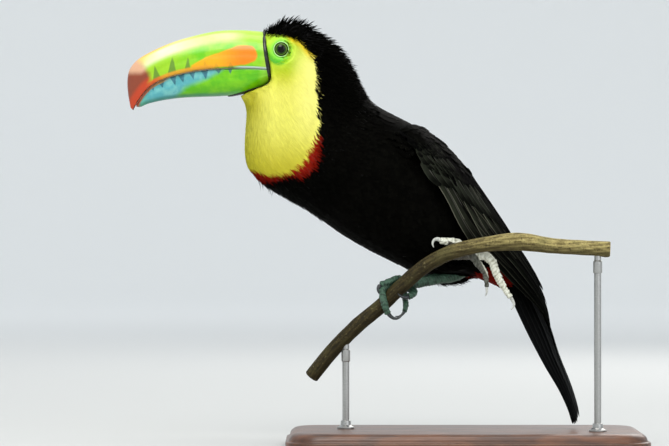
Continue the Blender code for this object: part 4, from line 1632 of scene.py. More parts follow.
@dataclass
class Wing:
    """A folded wing: coverts over secondaries and primaries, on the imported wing's outer face."""

    side: Side
    lower: tuple = (
        (-0.0580, 0.0300, 0.2625), (-0.0455, 0.0380, 0.2480), (-0.0336, 0.0420, 0.2285),
        (-0.0210, 0.0420, 0.2090), (-0.0085, 0.0390, 0.1850), (0.0042, 0.0330, 0.1655),
        (0.0227, 0.0275, 0.1478), (0.0395, 0.0230, 0.1294), (0.0563, 0.0185, 0.1126),
        (0.0672, 0.0155, 0.1008), (0.0715, 0.0130, 0.0958),
    )
    upper: tuple = (
        (-0.0480, 0.0200, 0.2695), (-0.0346, 0.0090, 0.2670), (-0.0180, 0.0080, 0.2540),
        (-0.0022, 0.0075, 0.2380), (0.0128, 0.0070, 0.2175), (0.0255, 0.0070, 0.1985),
        (0.0395, 0.0075, 0.1765), (0.0525, 0.0080, 0.1545), (0.0645, 0.0085, 0.1310),
        (0.0708, 0.0090, 0.1125), (0.0724, 0.0115, 0.0972),
    )
    rows: int = 64
    columns: int = 25
    bedding: float = 0.0031
    thinnest: float = 0.0016
    thickest: float = 0.0100
    inward: float = 0.0080
    # Behind this line, given along and across the sheet, the folded wing has no painted sheen and no
    # pale edges and stays black.
    dark_border: tuple = (
        (0.02, 0.86), (0.07, 0.80), (0.12, 0.72), (0.19, 0.64), (0.25, 0.57), (0.30, 0.59),
        (0.41, 0.74), (0.50, 0.84),
    )

    def guide(self, line: Sequence[tuple[float, float, float]], at: Array) -> Array:
        """Points of a guide line on this side of the bird."""
        points = spline(line, at)
        points[:, 1] = MIDLINE + self.side.value * points[:, 1]
        return points

    def sheet(self) -> Sheet:
        """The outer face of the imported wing, from shoulder to tip and from lower to upper edge."""
        fine = np.linspace(0, len(self.lower) - 1, 300)
        travelled = lengths_along((self.guide(self.lower, fine) + self.guide(self.upper, fine)) / 2)
        at = np.interp(np.linspace(0, travelled[-1], self.rows), travelled, fine)
        low, high = self.guide(self.lower, at), self.guide(self.upper, at)
        share = np.linspace(0.03, 0.97, self.columns)[None, :, None]
        chord = low[:, None] * (1 - share) + high[:, None] * share
        along = np.gradient(chord, axis=0)
        out = unit(np.cross(along, (high - low)[:, None])) * -1
        out = out * np.sign(out[..., 1:2] * self.side.value)
        hull = node_hull(self.side.node("wing"))
        flat, ways = chord.reshape(-1, 3), out.reshape(-1, 3)
        hits, met = hull.hit(flat + ways * 0.03, -ways, 0.05)
        near, _ = hull.nearest(flat + ways * 0.004)
        grid = np.where(met[:, None], hits, near).reshape(chord.shape)
        for _ in range(4):
            around = grid[:-2, 1:-1] + grid[2:, 1:-1] + grid[1:-1, :-2] + grid[1:-1, 2:]
            grid[1:-1, 1:-1] = around / 4
        return Sheet(grid, -float(self.side.value))

    def core(self, sheet: Sheet) -> bpy.types.Mesh:
        """The dark body of the wing under its feathers; at the shoulder it reaches the trunk."""
        trimmed = np.s_[1:-3, 1:-1]
        thin = np.sin(np.linspace(0, np.pi, sheet.points.shape[1] - 2)) ** 0.5
        ways = sheet.normals[trimmed]
        outer = sheet.points[trimmed] - ways * self.bedding
        flat, out = outer.reshape(-1, 3), ways.reshape(-1, 3)
        far, met = node_hull(self.side.node("wing")).hit(flat - out * 0.025, out, 0.025)
        depth = np.where(met, np.linalg.norm(far - flat, axis=1), self.thinnest)
        depth = depth.clip(self.thinnest, self.thickest).reshape(ways.shape[:2])
        depth = depth + self.inward * ramp(np.linspace(0, 1, len(ways)), 0.62, 0.48)[:, None]
        inner = outer - ways * (depth * thin)[..., None]
        ring = np.concatenate([outer, inner[:, ::-1][:, 1:-1]], 1)
        points, faces = capped_loft(ring)
        mesh = outward(fast_mesh(self.side.node("wing_core"), points, faces))
        store(mesh, {name: np.full(len(points), 0.4) for name in ("tip", "side", "shade", "pale")})
        return mesh

    def coverts(self, coat: Coat, sheet: Sheet) -> None:
        """Rows of small rounded feathers from the shoulder to the flight feathers."""
        draws = np.random.default_rng(31)
        bands = (
            # start, end, row step, slant, length, half width, pitch, rise at the tip, layer, pale
            # (edges and painted sheen)
            (0.020, 0.105, 0.0140, 0.10, 0.0110, 0.0032, 0.0040, 0.0005, -0.0005, 0.60),
            (0.095, 0.150, 0.0200, 0.22, 0.0170, 0.0042, 0.0044, 0.0005, -0.0003, 0.75),
            (0.148, 0.160, 0.0300, 0.34, 0.0300, 0.0052, 0.0046, 0.0005, -0.0002, 0.95),
        )
        plan = np.array(Outline.COVERT.value)
        along = plan[:, 0]
        for start, end, step, slant, length, half_width, pitch, rise, layer, pale in bands:
            for number, row in enumerate(np.arange(start, end, step)):
                wide = np.interp(row, np.linspace(0, 1, len(sheet.widths)), sheet.widths)
                count = max(5, round(wide / pitch))
                across = (np.arange(count) + 0.5 * (number % 2)) / (count - 0.5)
                across = 0.96 * across - 0.07 + draws.normal(0, 0.10 / count, count)
                begin = row + slant * np.minimum(across, 0.85) + draws.normal(0, step * 0.16, count)
                reach = length * (1 + draws.normal(0, 0.07, count)) / sheet.length
                at = begin[:, None] + reach[:, None] * along
                drift = (0.5 - across)[:, None] * 0.05 * along + across[:, None]
                place, normal = sheet.at(at, drift)
                beside, _ = sheet.at(at, drift + 0.02)
                lift = layer + (rise * (1 + draws.normal(0, 0.15, count)))[:, None] * along**1.2
                middle = place + normal * lift[..., None]
                up = unit(normal + 0.06 * unit(beside - place))
                widths = half_width * plan[:, 1] * np.ones((count, 1))
                edge = np.interp(begin + reach * 0.5, *np.transpose(self.dark_border))
                # the amount of painted sheen and pale edge, none behind the dark border or at the
                # shoulder
                pale_here = pale * ramp(across - edge, 0.05, -0.07) * ramp(begin, 0.02, 0.10)
                marks = {"shade": draws.random(count), "pale": pale_here}
                spots = np.stack([begin, across], 1)
                coat.add(middle, up, widths, LEAF, spots, marks, along, sense=-self.side.value)

    def flight(self, coat: Coat, sheet: Sheet) -> None:
        """Primaries below, then secondaries, then tertials on top."""
        # How far along the sheet each primary's tip lies, and how pale its edge and how strong its
        # painted sheen are.
        tips = (
            (0.930, 0.3), (1.000, 0.25), (1.030, 0.10), (1.020, 0.45), (0.975, 0.1), (0.930, 0.35),
            (0.885, 0.0),
        )
        primaries = [
            Quill((0.22, 0.08 + 0.045 * number), (tip, 0.22 + 0.157 * number), 0.0058,
                  -0.0014 + 0.00003 * number, pale, -0.06 + 0.01 * number)
            for number, (tip, pale) in enumerate(tips)
        ]
        secondaries = [
            Quill((0.18, 0.00), (0.60, 0.05), 0.0048, -0.0008, 1.0),
            Quill((0.20, 0.11), (0.63, 0.16), 0.0046, -0.0010, 0.9),
            Quill((0.24, 0.36), (0.70, 0.24), 0.0060, -0.0010, 0.95),
            Quill((0.24, 0.50), (0.71, 0.40), 0.0064, -0.0010, 0.75),
            Quill((0.24, 0.64), (0.71, 0.60), 0.0064, -0.0010, 1.0),
            Quill((0.24, 0.75), (0.73, 0.77), 0.0064, -0.0009, 0.55),
        ]
        tertials = [
            Quill((0.20, 0.82), (0.80, 0.92), 0.0046, -0.0007, 0.7),
            Quill((0.20, 0.86), (0.74, 0.935), 0.0042, -0.0006, 0.0),
            Quill((0.18, 0.88), (0.68, 0.94), 0.0042, -0.0005, 0.0),
        ]
        for quills, lean, pointed in (
            (primaries, 0.14, 0.75), (secondaries, 0.13, 0.25), (tertials, 0.10, 0.30),
        ):
            lay_quills(coat, sheet, quills, -float(self.side.value), lean, pointed)

    def build(self) -> None:
        """Builds the wing and adds it."""
        sheet, slot, black = self.sheet(), "wing_feathers", (3, 3, 3)
        add_piece(self.core(sheet), QuillFinish(base=black, gloss=0.006), slot)
        flight = Coat(self.side.node("flight_feathers"))
        self.flight(flight, sheet)
        flight.finish(QuillFinish(base=black, gloss=0.003), slot, [self.side.node("wing")])
        coverts = Coat(self.side.node("wing_coverts"))
        self.coverts(coverts, sheet)
        coverts.finish(
            # painted sheen on the coverts
            QuillFinish(base=black, bloom=(39, 42, 34), edge=(43, 46, 38), gloss=0.003), slot
        )


@dataclass
class Tail:
    """The closed tail: five pairs of long feathers."""

    ridge: tuple = (
        (0.0455, 0.1535), (0.0588, 0.1262), (0.0704, 0.0995), (0.0785, 0.0750), (0.0876, 0.0520),
        (0.0937, 0.0320), (0.0966, 0.0175),
    )
    half_width: tuple = (0.0130, 0.0180, 0.0205, 0.0210, 0.0190, 0.0140, 0.0080)
    arch: tuple = (0.0165, 0.0178, 0.0152, 0.0090, 0.0042, 0.0014, 0.0010)
    twist: tuple = (0.0045, 0.0055, 0.0064, 0.0060, 0.0053, 0.0048, 0.0042)
    pairs: int = 5
    rows: int = 48
    columns: int = 21

    def sheet(self) -> Sheet:
        """The tail's arched upper face, from root to tip and from the left edge to the right."""
        at = np.linspace(0, len(self.ridge) - 1, self.rows)
        ridge = spline(self.ridge, at)
        ahead = unit(np.gradient(ridge, axis=0))
        down = np.stack([ahead[:, 1], -ahead[:, 0]], 1)
        down = down * np.where(down[:, :1] > 0, -1, 1)
        half, arch, twist = (spline(v, at) for v in (self.half_width, self.arch, self.twist))
        share = np.linspace(-1, 1, self.columns)
        drop = arch[:, None] * share**2 - twist[:, None] * share
        grid = np.empty((self.rows, self.columns, 3))
        grid[..., 0] = ridge[:, :1] + down[:, :1] * drop
        grid[..., 2] = ridge[:, 1:] + down[:, 1:] * drop
        grid[..., 1] = MIDLINE + half[:, None] * share
        sheet = Sheet(grid, 1.0)
        if sheet.normals[self.rows // 2, self.columns // 2, 0] < 0:
            sheet.normals = -sheet.normals
        return sheet

    def build(self) -> None:
        """Builds the tail and adds it."""
        sheet = self.sheet()
        feathers = Coat("tail_feathers")
        for side in Side:
            quills = []
            for share in np.linspace(0, 1, self.pairs):
                if side is Side.LEFT:
                    tip, pale = 1.0 - 0.07 * (1 - share) ** 3 - 0.01 * share, 0.16
                else:
                    tip, pale = 0.925 - 0.05 * share, 0.62 - 0.2 * share
                start = 0.5 + side.value * (0.10 + 0.27 * share)
                end = 0.5 + side.value * (0.085 + 0.31 * share)
                width, layer = 0.0072 - 0.0014 * share, -0.0004 - 0.0022 * share
                quills.append(Quill((0.0, start), (tip, end), width, layer, pale))
            lay_quills(feathers, sheet, quills, -float(side.value), 0.05, 0.8)
        # painted sheen on the tail's outer vanes
        finish = QuillFinish(base=(6, 6, 7), bloom=(30, 32, 32), edge=(64, 66, 64), gloss=0.03)
        feathers.finish(finish, "tail_feathers", ["tail"])


# ---------------------------------------------------------------- bill, eyes, legs and claws


@dataclass(frozen=True)
class UpperBillFinish(Finish):
    """The upper bill: lime green with a painted pale highlight below the ridge, an orange flame, dusky
    teeth, a maroon tip.
    """

    def paint(self, shader: Shader) -> None:
        """Blends the bill's colours by the marks on its points, under a clear gloss."""
        ridge, flame, tip = shader.marks("ridge", "blaze", "tip_zone")
        lip, teeth, along = shader.marks("lip", "teeth", "along")
        cloud = shader.noise(0.009, 3.0)
        wander = (shader.noise(0.006, 3.0) - 0.5) * 1.6
        # painted highlight: where the pale band below the ridge lies
        glow = ridge.step(12.5, 7.0) * along.step(14, 34) * along.step(112, 98)
        highlight_hue = shader.blend((220, 240, 160), (242, 247, 206), along.step(50, 84))
        crest = shader.blend((178, 222, 62), (230, 226, 122), along.step(48, 80))
        fire = shader.blend((242, 172, 8), (233, 130, 1), along.step(46, 18))
        dusk = shader.blend((96, 138, 44), (150, 122, 38), flame.step(-1.0, 1.0))
        strength = along.step(112, 100) * (0.9 - flame.step(-1, 1) * 0.60)
        edge = shader.blend((226, 158, 34), (214, 72, 28), along.step(80, 98))
        front = along.step(38, 50)
        # painted highlight: a pale pink sheen over the upper part of the maroon tip
        tip_highlight = ridge.step(15, 9) * (shader.axis(2) + wander * 0.0008).step(0.3080, 0.3145)
        maroon = shader.layers(
            (140, 66, 42), ((216, 168, 134), tip_highlight), ((192, 64, 26), lip.step(9.0, 4.5))
        )
        # painted shade: where the dark broken line in the slit between the two halves lies
        gape = lip.step(0.5, 0.25) * along.step(32, 42) * shader.noise(0.006, 1.0).step(0.42, 0.52)
        colour = shader.layers(
            (104, 196, 8),
            ((142, 206, 30), cloud.step(0.35, 0.7)),
            ((162, 208, 36), along.step(56, 82) * 0.7),
            # painted highlight: the upper side lighter green, then the pale highlight band below the
            # ridge
            ((186, 220, 70), ridge.step(15, 6) * 0.6),
            (highlight_hue, glow * (cloud * 0.4 + 0.6)),
            (crest, ridge.step(3.4, 1.4) * 0.9),
            ((240, 176, 60), ridge.step(2.2, 0.4) * along.step(66, 96) * 0.8),
            ((240, 190, 96), along.step(88, 106) * ridge.step(9, 3) * 0.6),
            ((168, 206, 60), along.step(7, 2) * 0.7),
            (fire, (flame + wander).step(-0.9, 1.1)),
            (dusk, (teeth + wander * 0.6).step(-0.40, 0.60) * strength),
            (edge, (lip + wander * 0.5).step(4.4, 2.4) * front * 0.92),
            (maroon, (tip + wander * 1.8).step(-3.6, 2.6)),
            # painted highlight: a thin pale line along the cutting edge near the base
            ((214, 236, 226), lip.step(1.7, 1.1) * along.step(30, 20)),
            # painted shade in the slit between the halves
            ((34, 30, 20), gape),
            # painted highlight: a pale line at the base of the bill, next to the black band
            ((206, 226, 186), along.step(1.6, 0.4) * 0.5),
        )
        polish(shader, colour, along)


@dataclass(frozen=True)
class LowerBillFinish(Finish):
    """The lower bill: blue in front, green behind, with slate teeth, a darker teal keel painted as
    shade, and an orange rim.
    """

    def paint(self, shader: Shader) -> None:
        """Blends the bill's colours by the marks on its points, under a clear gloss."""
        lip, teeth, along = shader.marks("lip", "teeth", "along")
        keel, blue = shader.marks("ridge", "blue")
        wander = (shader.noise(0.007, 3.0) - 0.5) * 2.4
        sky = shader.blend((86, 172, 180), (122, 198, 194), shader.noise(0.008, 3.0).step(0.4, 0.7))
        slate = shader.blend((40, 98, 112), (62, 124, 150), shader.noise(0.004).step(0.4, 0.7))
        rim = shader.blend((186, 140, 66), (196, 92, 48), along.step(92, 104))
        colour = shader.layers(
            (92, 188, 4),
            ((126, 206, 8), shader.noise(0.010, 3.0).step(0.35, 0.7)),
            ((150, 214, 60), along.step(8, 3) * 0.6),
            (sky, (blue + wander).step(-3.0, 3.0)),
            # painted shade: darker teal along the keel, on the underside
            ((40, 118, 96), keel.step(4.2, 1.0) * along.step(16, 40) * 0.75),
            ((84, 160, 120), along.step(96, 108) * 0.6),
            (slate, (teeth + wander * 0.12).step(-0.30, 0.40) * 0.88),
            (rim, (lip + wander * 0.3).step(2.6, 1.7) * along.step(80, 90) * 0.85),
            ((170, 70, 44), along.step(105.5, 109.5) * 0.85),
            # painted highlight: a faint pale line along the cutting edge
            ((214, 236, 214), lip.step(0.7, 0.2) * 0.5),
        )
        polish(shader, colour, along)


def polish(shader: Shader, colour: Value, along: Value) -> None:
    """Horny bill surface: faint growth lines, fine scratches, and a clear coat."""
    growth = (along * 1.9 + shader.noise(0.012, 2.0) * 9.0).wave() * 0.25
    fibre = shader.noise(0.0011, 4.0, (0.22, 1.0, 1.0))
    shader.finish(
        Base_Color=shader.tinted(colour, fibre * 0.12 + 0.94),
        Roughness=fibre * 0.14 + 0.27,
        Normal=shader.bump(growth + fibre * 0.5, 0.00011),
        Coat_Weight=0.28,
        Coat_Roughness=0.16,
        Specular_IOR_Level=0.3,
        Subsurface_Weight=0.05,
        Subsurface_Radius=(0.003, 0.002, 0.001),
    )


@dataclass(frozen=True)
class HornFinish(Finish):
    """Plain horn or hard skin: one colour with faint streaks."""

    hue: Hue
    tip: Hue
    roughness: float = 0.32

    def paint(self, shader: Shader) -> None:
        """Streaked along its length."""
        streak = shader.noise(0.0016, 4.0)
        colour = shader.blend(self.hue, self.tip, streak.step(0.35, 0.75))
        shader.finish(
            Base_Color=colour,
            Roughness=streak * 0.18 + self.roughness,
            Normal=shader.bump(streak, 0.00008),
            Coat_Weight=0.2,
            Coat_Roughness=0.2,
        )


@dataclass
class Bill:
    """Both halves of the bill, and the black raised band round its base."""

    upper: tuple = (
        (-0.1560, 0.3455, -0.1560, 0.3130, 0.0178), (-0.1693, 0.3465, -0.1634, 0.3142, 0.0190),
        (-0.1882, 0.3478, -0.1814, 0.3154, 0.0186), (-0.2075, 0.3471, -0.2008, 0.3152, 0.0176),
        (-0.2268, 0.3432, -0.2201, 0.3140, 0.0162), (-0.2461, 0.3374, -0.2386, 0.3106, 0.0142),
        (-0.2629, 0.3301, -0.2537, 0.3058, 0.0118), (-0.2747, 0.3231, -0.2642, 0.2999, 0.0095),
        (-0.2814, 0.3152, -0.2705, 0.2932, 0.0075), (-0.2834, 0.3058, -0.2747, 0.2877, 0.0055),
        (-0.2828, 0.2940, -0.2772, 0.2836, 0.0038), (-0.2808, 0.2828, -0.2786, 0.2806, 0.0018),
    )
    lower: tuple = (
        (-0.1540, 0.3130, -0.1540, 0.3060, 0.0160), (-0.1629, 0.3136, -0.1624, 0.3045, 0.0180),
        (-0.1705, 0.3142, -0.1722, 0.2992, 0.0178), (-0.1823, 0.3148, -0.1856, 0.2945, 0.0170),
        (-0.2008, 0.3146, -0.2024, 0.2925, 0.0156), (-0.2201, 0.3134, -0.2201, 0.2918, 0.0138),
        (-0.2386, 0.3102, -0.2377, 0.2910, 0.0115), (-0.2535, 0.3057, -0.2540, 0.2888, 0.0088),
        (-0.2640, 0.3000, -0.2654, 0.2862, 0.0064), (-0.2706, 0.2934, -0.2724, 0.2834, 0.0044),
        (-0.2756, 0.2864, -0.2760, 0.2836, 0.0018),
    )
    base: float = -0.1660
    rings: int = 210
    sides: int = 65
    crowding: float = 0.92
    fullness: float = 0.80
    notch: float = 0.00055
    notch_pitch: float = 0.0052
    groove: float = 0.00030
    palate: float = 0.10
    band_rings: int = 300
    band_sides: int = 12
    band_width: float = 0.00160
    band_rise: float = 0.00085
    flame: tuple = (
        (-0.2300, 0.3172), (-0.2246, 0.3202), (-0.2171, 0.3244), (-0.2079, 0.3277),
        (-0.1995, 0.3306), (-0.1912, 0.3340), (-0.1828, 0.3345), (-0.1778, 0.3333),
        (-0.1748, 0.3298), (-0.1740, 0.3252), (-0.1757, 0.3215), (-0.1803, 0.3189),
        (-0.1853, 0.3177), (-0.1962, 0.3166), (-0.2079, 0.3157), (-0.2171, 0.3145),
        (-0.2263, 0.3133),
    )
    tip_zone: tuple = (
        (-0.2900, 0.3300), (-0.2762, 0.3232), (-0.2700, 0.3180), (-0.2655, 0.3120),
        (-0.2640, 0.3060), (-0.2655, 0.3010), (-0.2700, 0.2800), (-0.2900, 0.2780),
    )
    blue_zone: tuple = (
        (-0.2900, 0.3200), (-0.2010, 0.3160), (-0.2120, 0.3088), (-0.2246, 0.3034),
        (-0.2346, 0.2993), (-0.2430, 0.2905), (-0.2430, 0.2830), (-0.2900, 0.2800),
    )
    # Teeth: where each stands on the cutting edge, half its width, its length and its lean.
    upper_teeth: tuple = (
        (-0.2325, 0.0032, 0.0135, 0.04), (-0.2456, 0.0046, 0.0168, 0.02),
        (-0.2580, 0.0042, 0.0150, -0.15), (-0.2668, 0.0022, 0.0100, -0.2),
        (-0.2080, 0.0026, 0.0055, -0.1), (-0.1960, 0.0026, 0.0058, -0.15),
        (-0.2170, 0.0026, 0.0080, -0.15),
    )
    lower_teeth: tuple = (
        (-0.2705, 0.0009, 0.0024, 0.1), (-0.2685, 0.0011, 0.0034, 0.1),
        (-0.2655, 0.0013, 0.0048, 0.1), (-0.2620, 0.0022, 0.0054, 0.15),
        (-0.2548, 0.0030, 0.0070, 0.2), (-0.2448, 0.0027, 0.0088, 0.25),
        (-0.2378, 0.0029, 0.0082, 0.22), (-0.2288, 0.0027, 0.0070, 0.2),
        (-0.2182, 0.0032, 0.0080, 0.15), (-0.2066, 0.0029, 0.0038, 0.1),
        (-0.1968, 0.0019, 0.0050, 0.05),
    )
    band_path: tuple = (
        (-0.1684, 0.3466), (-0.1682, 0.3440), (-0.1679, 0.3386), (-0.1674, 0.3319),
        (-0.1664, 0.3244), (-0.1652, 0.3177), (-0.1641, 0.3118), (-0.1633, 0.3068),
        (-0.1638, 0.3035), (-0.1663, 0.3013), (-0.1728, 0.2996), (-0.1795, 0.2976),
        (-0.1878, 0.2949), (-0.1958, 0.2930), (-0.1990, 0.2922),
    )

    def half(self, name: str, stations: tuple, is_upper: bool) -> bpy.types.Mesh:
        """One half of the bill.

        Args:
            name: Its name.
            stations: Its upper line and lower line in X and Z, and its half width, ring by ring.
            is_upper: Whether the upper line is its outer one and the lower line its cutting edge.

        Returns:
            Its mesh, with its marks.
        """
        table = np.array(stations)
        if not is_upper:
            table = table[:, (2, 3, 0, 1, 4)]
        at = (len(table) - 1) * np.linspace(0, 1, self.rings) ** self.crowding
        line = spline(table, at)
        crown = np.stack([line[:, 0], np.zeros(self.rings), line[:, 1]], 1)
        edge = np.stack([line[:, 2], np.zeros(self.rings), line[:, 3]], 1)
        width = line[:, 4]
        spread = np.linspace(-1, 1, self.sides)
        turn = np.pi / 2 * np.sign(spread) * np.abs(spread) ** self.crowding
        rise = np.clip(np.cos(turn), 0, 1) ** self.fullness
        ring = edge[:, None] + (crown - edge)[:, None] * rise[None, :, None]
        ring[..., 1] += width[:, None] * np.sin(turn)
        travel = lengths_along(edge)
        toothed = ramp(travel, 0.030, 0.045) * ramp(travel, travel[-1] - 0.002, travel[-1] - 0.015)
        saw = (travel / self.notch_pitch) % 1.0
        cut = self.notch * toothed * (saw - 0.3)
        lip = np.exp(-((1 - np.abs(turn) / (np.pi / 2)) / 0.05) ** 2)
        ring[..., 2] += (cut[:, None] * lip) * (1 if is_upper else 0.6)
        groove = self.groove * np.exp(-((np.abs(turn) - 1.30) / 0.07) ** 2)
        ring[..., 1] -= np.sign(turn) * groove
        inner = np.linspace(0.93, -0.93, 9)
        hollow = (crown - edge)[:, None] * (self.palate * (1 - inner**2))[None, :, None]
        palate = edge[:, None] + hollow
        palate[..., 1] += width[:, None] * inner
        rings = np.concatenate([ring, palate], 1)
        rings[..., 1] += MIDLINE
        points, faces = capped_loft(rings)
        mesh = outward(fast_mesh(name, points, faces))
        flat = points[:, (0, 2)]
        edge_line, crown_line = edge[:, (0, 2)], crown[:, (0, 2)]
        marks = {
            "ridge": self.reach_from(flat, crown_line),
            "lip": self.reach_from(flat, edge_line),
            "along": self.base - flat[:, 0],
            "blaze": depth_inside(flat, self.flame),
            "tip_zone": depth_inside(flat, self.tip_zone),
            "blue": depth_inside(flat, self.blue_zone),
            "teeth": self.teeth(flat, edge_line, self.upper_teeth if is_upper else self.lower_teeth),
        }
        store(mesh, {key: values / MM for key, values in marks.items()})
        return mesh

    @staticmethod
    def reach_from(flat: Array, line: Array) -> Array:
        """How far points are from a line through the bill's side."""
        return np.min([segment_reach(flat, *ends) for ends in zip(line[:-1:2], line[1::2])], 0)

    @staticmethod
    def teeth(flat: Array, line: Array, teeth: tuple) -> Array:
        """How far points lie inside the tooth-shaped marks that stand on the cutting edge."""
        order = np.argsort(line[:, 0])
        edge = np.interp(flat[:, 0], line[order, 0], line[order, 1])
        height = np.abs(flat[:, 1] - edge)
        inside = np.full(len(flat), -1.0)
        for place, half_width, length, lean in teeth:
            reach = half_width * (1 - height / length)
            away = np.abs(flat[:, 0] - place - lean * height)
            inside = np.maximum(inside, np.minimum(reach - away, (length - height) * 0.5))
        return inside

    def band(self, hull: Hull) -> bpy.types.Mesh:
        """The band: a flattened bead along the bill's base, over the ridge and under the chin."""
        path = spline(self.band_path, np.linspace(0, len(self.band_path) - 1, 90))
        middle = np.stack([path[:, 0], np.full(len(path), MIDLINE), path[:, 1]], 1)
        loop = []
        for sign in (-1, 1):
            inwards = np.tile((0.0, -sign, 0.0), (len(path), 1))
            spots, met = hull.hit(middle - inwards * 0.04, inwards, 0.06)
            spots = np.where(met[:, None], spots, hull.nearest(middle)[0])
            loop.append(spots if sign < 0 else spots[::-1])
        count, sides = self.band_rings, self.band_sides
        line = even_points(np.concatenate([*loop, loop[0][:1]]), count + 1)[:-1]
        for _ in range(8):
            line = (np.roll(line, 1, 0) + 2 * line + np.roll(line, -1, 0)) / 4
            line, normal = hull.nearest(line)
        for _ in range(10):
            normal = unit(np.roll(normal, 1, 0) + normal + np.roll(normal, -1, 0))
        ahead = unit(np.roll(line, -1, 0) - np.roll(line, 1, 0))
        across = unit(np.cross(normal, ahead))
        turn = turns(sides)
        wide = self.band_width + 0.00012 * ramp(line[:, 2], 0.2935, 0.3010)[:, None, None]
        ring = (
            line[:, None]
            + across[:, None] * np.cos(turn)[:, None] * wide
            + normal[:, None] * (np.sin(turn)[:, None] * self.band_rise + 0.00010)
        )
        faces = grid_faces(count + 1, sides, closed=True) % (count * sides)
        return outward(fast_mesh("bill_band", ring.reshape(-1, 3), [faces]))

    def build(self) -> None:
        """Builds the bill and adds it."""
        upper = self.half("upper_bill", self.upper, True)
        lower = self.half("lower_bill", self.lower, False)
        hull = Hull([upper, lower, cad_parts["head"].data])
        add_piece(upper, UpperBillFinish(), "bill_upper", ["bill_upper"])
        add_piece(lower, LowerBillFinish(), "bill_lower", ["bill_lower"])
        add_piece(self.band(hull), HornFinish((12, 12, 11), (26, 26, 24), 0.22), "bill_upper")


@dataclass(frozen=True)
class EyeFinish(Finish):
    """A dark pupil in an olive iris, under a wet clear surface."""

    def paint(self, shader: Shader) -> None:
        """Rings by the distance from the eye's middle, with fine spokes in the iris."""
        away, turn = shader.marks("away", "turn")
        iris = shader.layers(
            (24, 48, 4),
            ((56, 92, 14), (turn * 46.0 + shader.noise(0.0007, 2.0) * 7.0).wave() * 0.5),
            ((112, 150, 56), away.step(4.15, 4.4) * away.step(4.95, 4.65) * 0.8),
            ((10, 24, 4), away.step(4.8, 5.2)),
        )
        shader.finish(
            Base_Color=shader.blend((1, 1, 1), iris, away.step(2.7, 3.4)),
            Roughness=0.08,
            Coat_Weight=0.22,
            Coat_Roughness=0.02,
            Specular_IOR_Level=0.12,
        )


@dataclass
class Eyes:
    """Two eyeballs, each with a faint bulge over the iris."""

    radius: float = EYEBALL
    bulge: float = 0.00035
    behind: float = 0.009
    rings: int = 48
    sides: int = 72

    def build(self) -> None:
        """Builds the eyeballs and adds them."""
        for side in Side:
            node = side.node("eye")
            centre = middle_of(node)
            fall, turn = np.linspace(0.02, np.pi - 0.02, self.rings)[:, None], turns(self.sides)
            radius = self.radius + self.bulge * ramp(fall * self.radius, 0.0066, 0.0040)
            away = np.sin(fall) * radius
            rings = np.stack(
                np.broadcast_arrays(
                    centre[0] + away * np.cos(turn),
                    centre[1] + side.value * np.cos(fall) * radius,
                    centre[2] + away * np.sin(turn),
                ),
                -1,
            )
            points, faces = capped_loft(rings)
            mesh = outward(fast_mesh(side.node("eyeball"), points, faces))
            flat = points[:, (0, 2)] - centre[[0, 2]]
            front = (points[:, 1] - centre[1]) * side.value > 0
            reach = np.where(front, np.linalg.norm(flat, axis=1), self.behind)
            store(mesh, {"away": reach / MM, "turn": np.arctan2(flat[:, 1], flat[:, 0])})
            add_piece(mesh, EyeFinish(), "eye", [node])


@dataclass(frozen=True)
class LegFinish(Finish):
    """Scaly leg skin: a pale ridge on each scute, darker skin between, and a painted shadow on one toe
    and the sole.
    """

    high: Hue
    low: Hue
    seam: Hue

    def paint(self, shader: Shader) -> None:
        """Coloured by the height of the scutes, with a fine net of seams between them."""
        scute, blotch = shader.mark("scute"), shader.noise(0.004, 4.0)
        scale = shader.blend(self.low, self.high, (scute * 0.75 + blotch * 0.5).step(0.25, 0.85))
        net = shader.cells(0.0011, "DISTANCE_TO_EDGE").step(0.0, 0.10)
        shadow = shader.blend((40, 33, 18), (36, 39, 27), shader.axis(0).step(-0.001, 0.006))
        colour = shader.layers(
            self.seam,
            (scale, net * 0.45 + scute.step(0.02, 0.30) * 0.55),
            # painted shadow on the left foot's sole and inner front toe, under the branch
            (shadow, shader.mark("dark").step(0.0, 1.0) * (0.97 - scute * 0.12)),
        )
        shader.finish(
            Base_Color=colour,
            Roughness=blotch * 0.2 + 0.42,
            Normal=shader.bump(net * 0.6 + shader.noise(0.0006, 3.0) * 0.6, 0.00014),
            Coat_Weight=0.08,
            Coat_Roughness=0.3,
        )


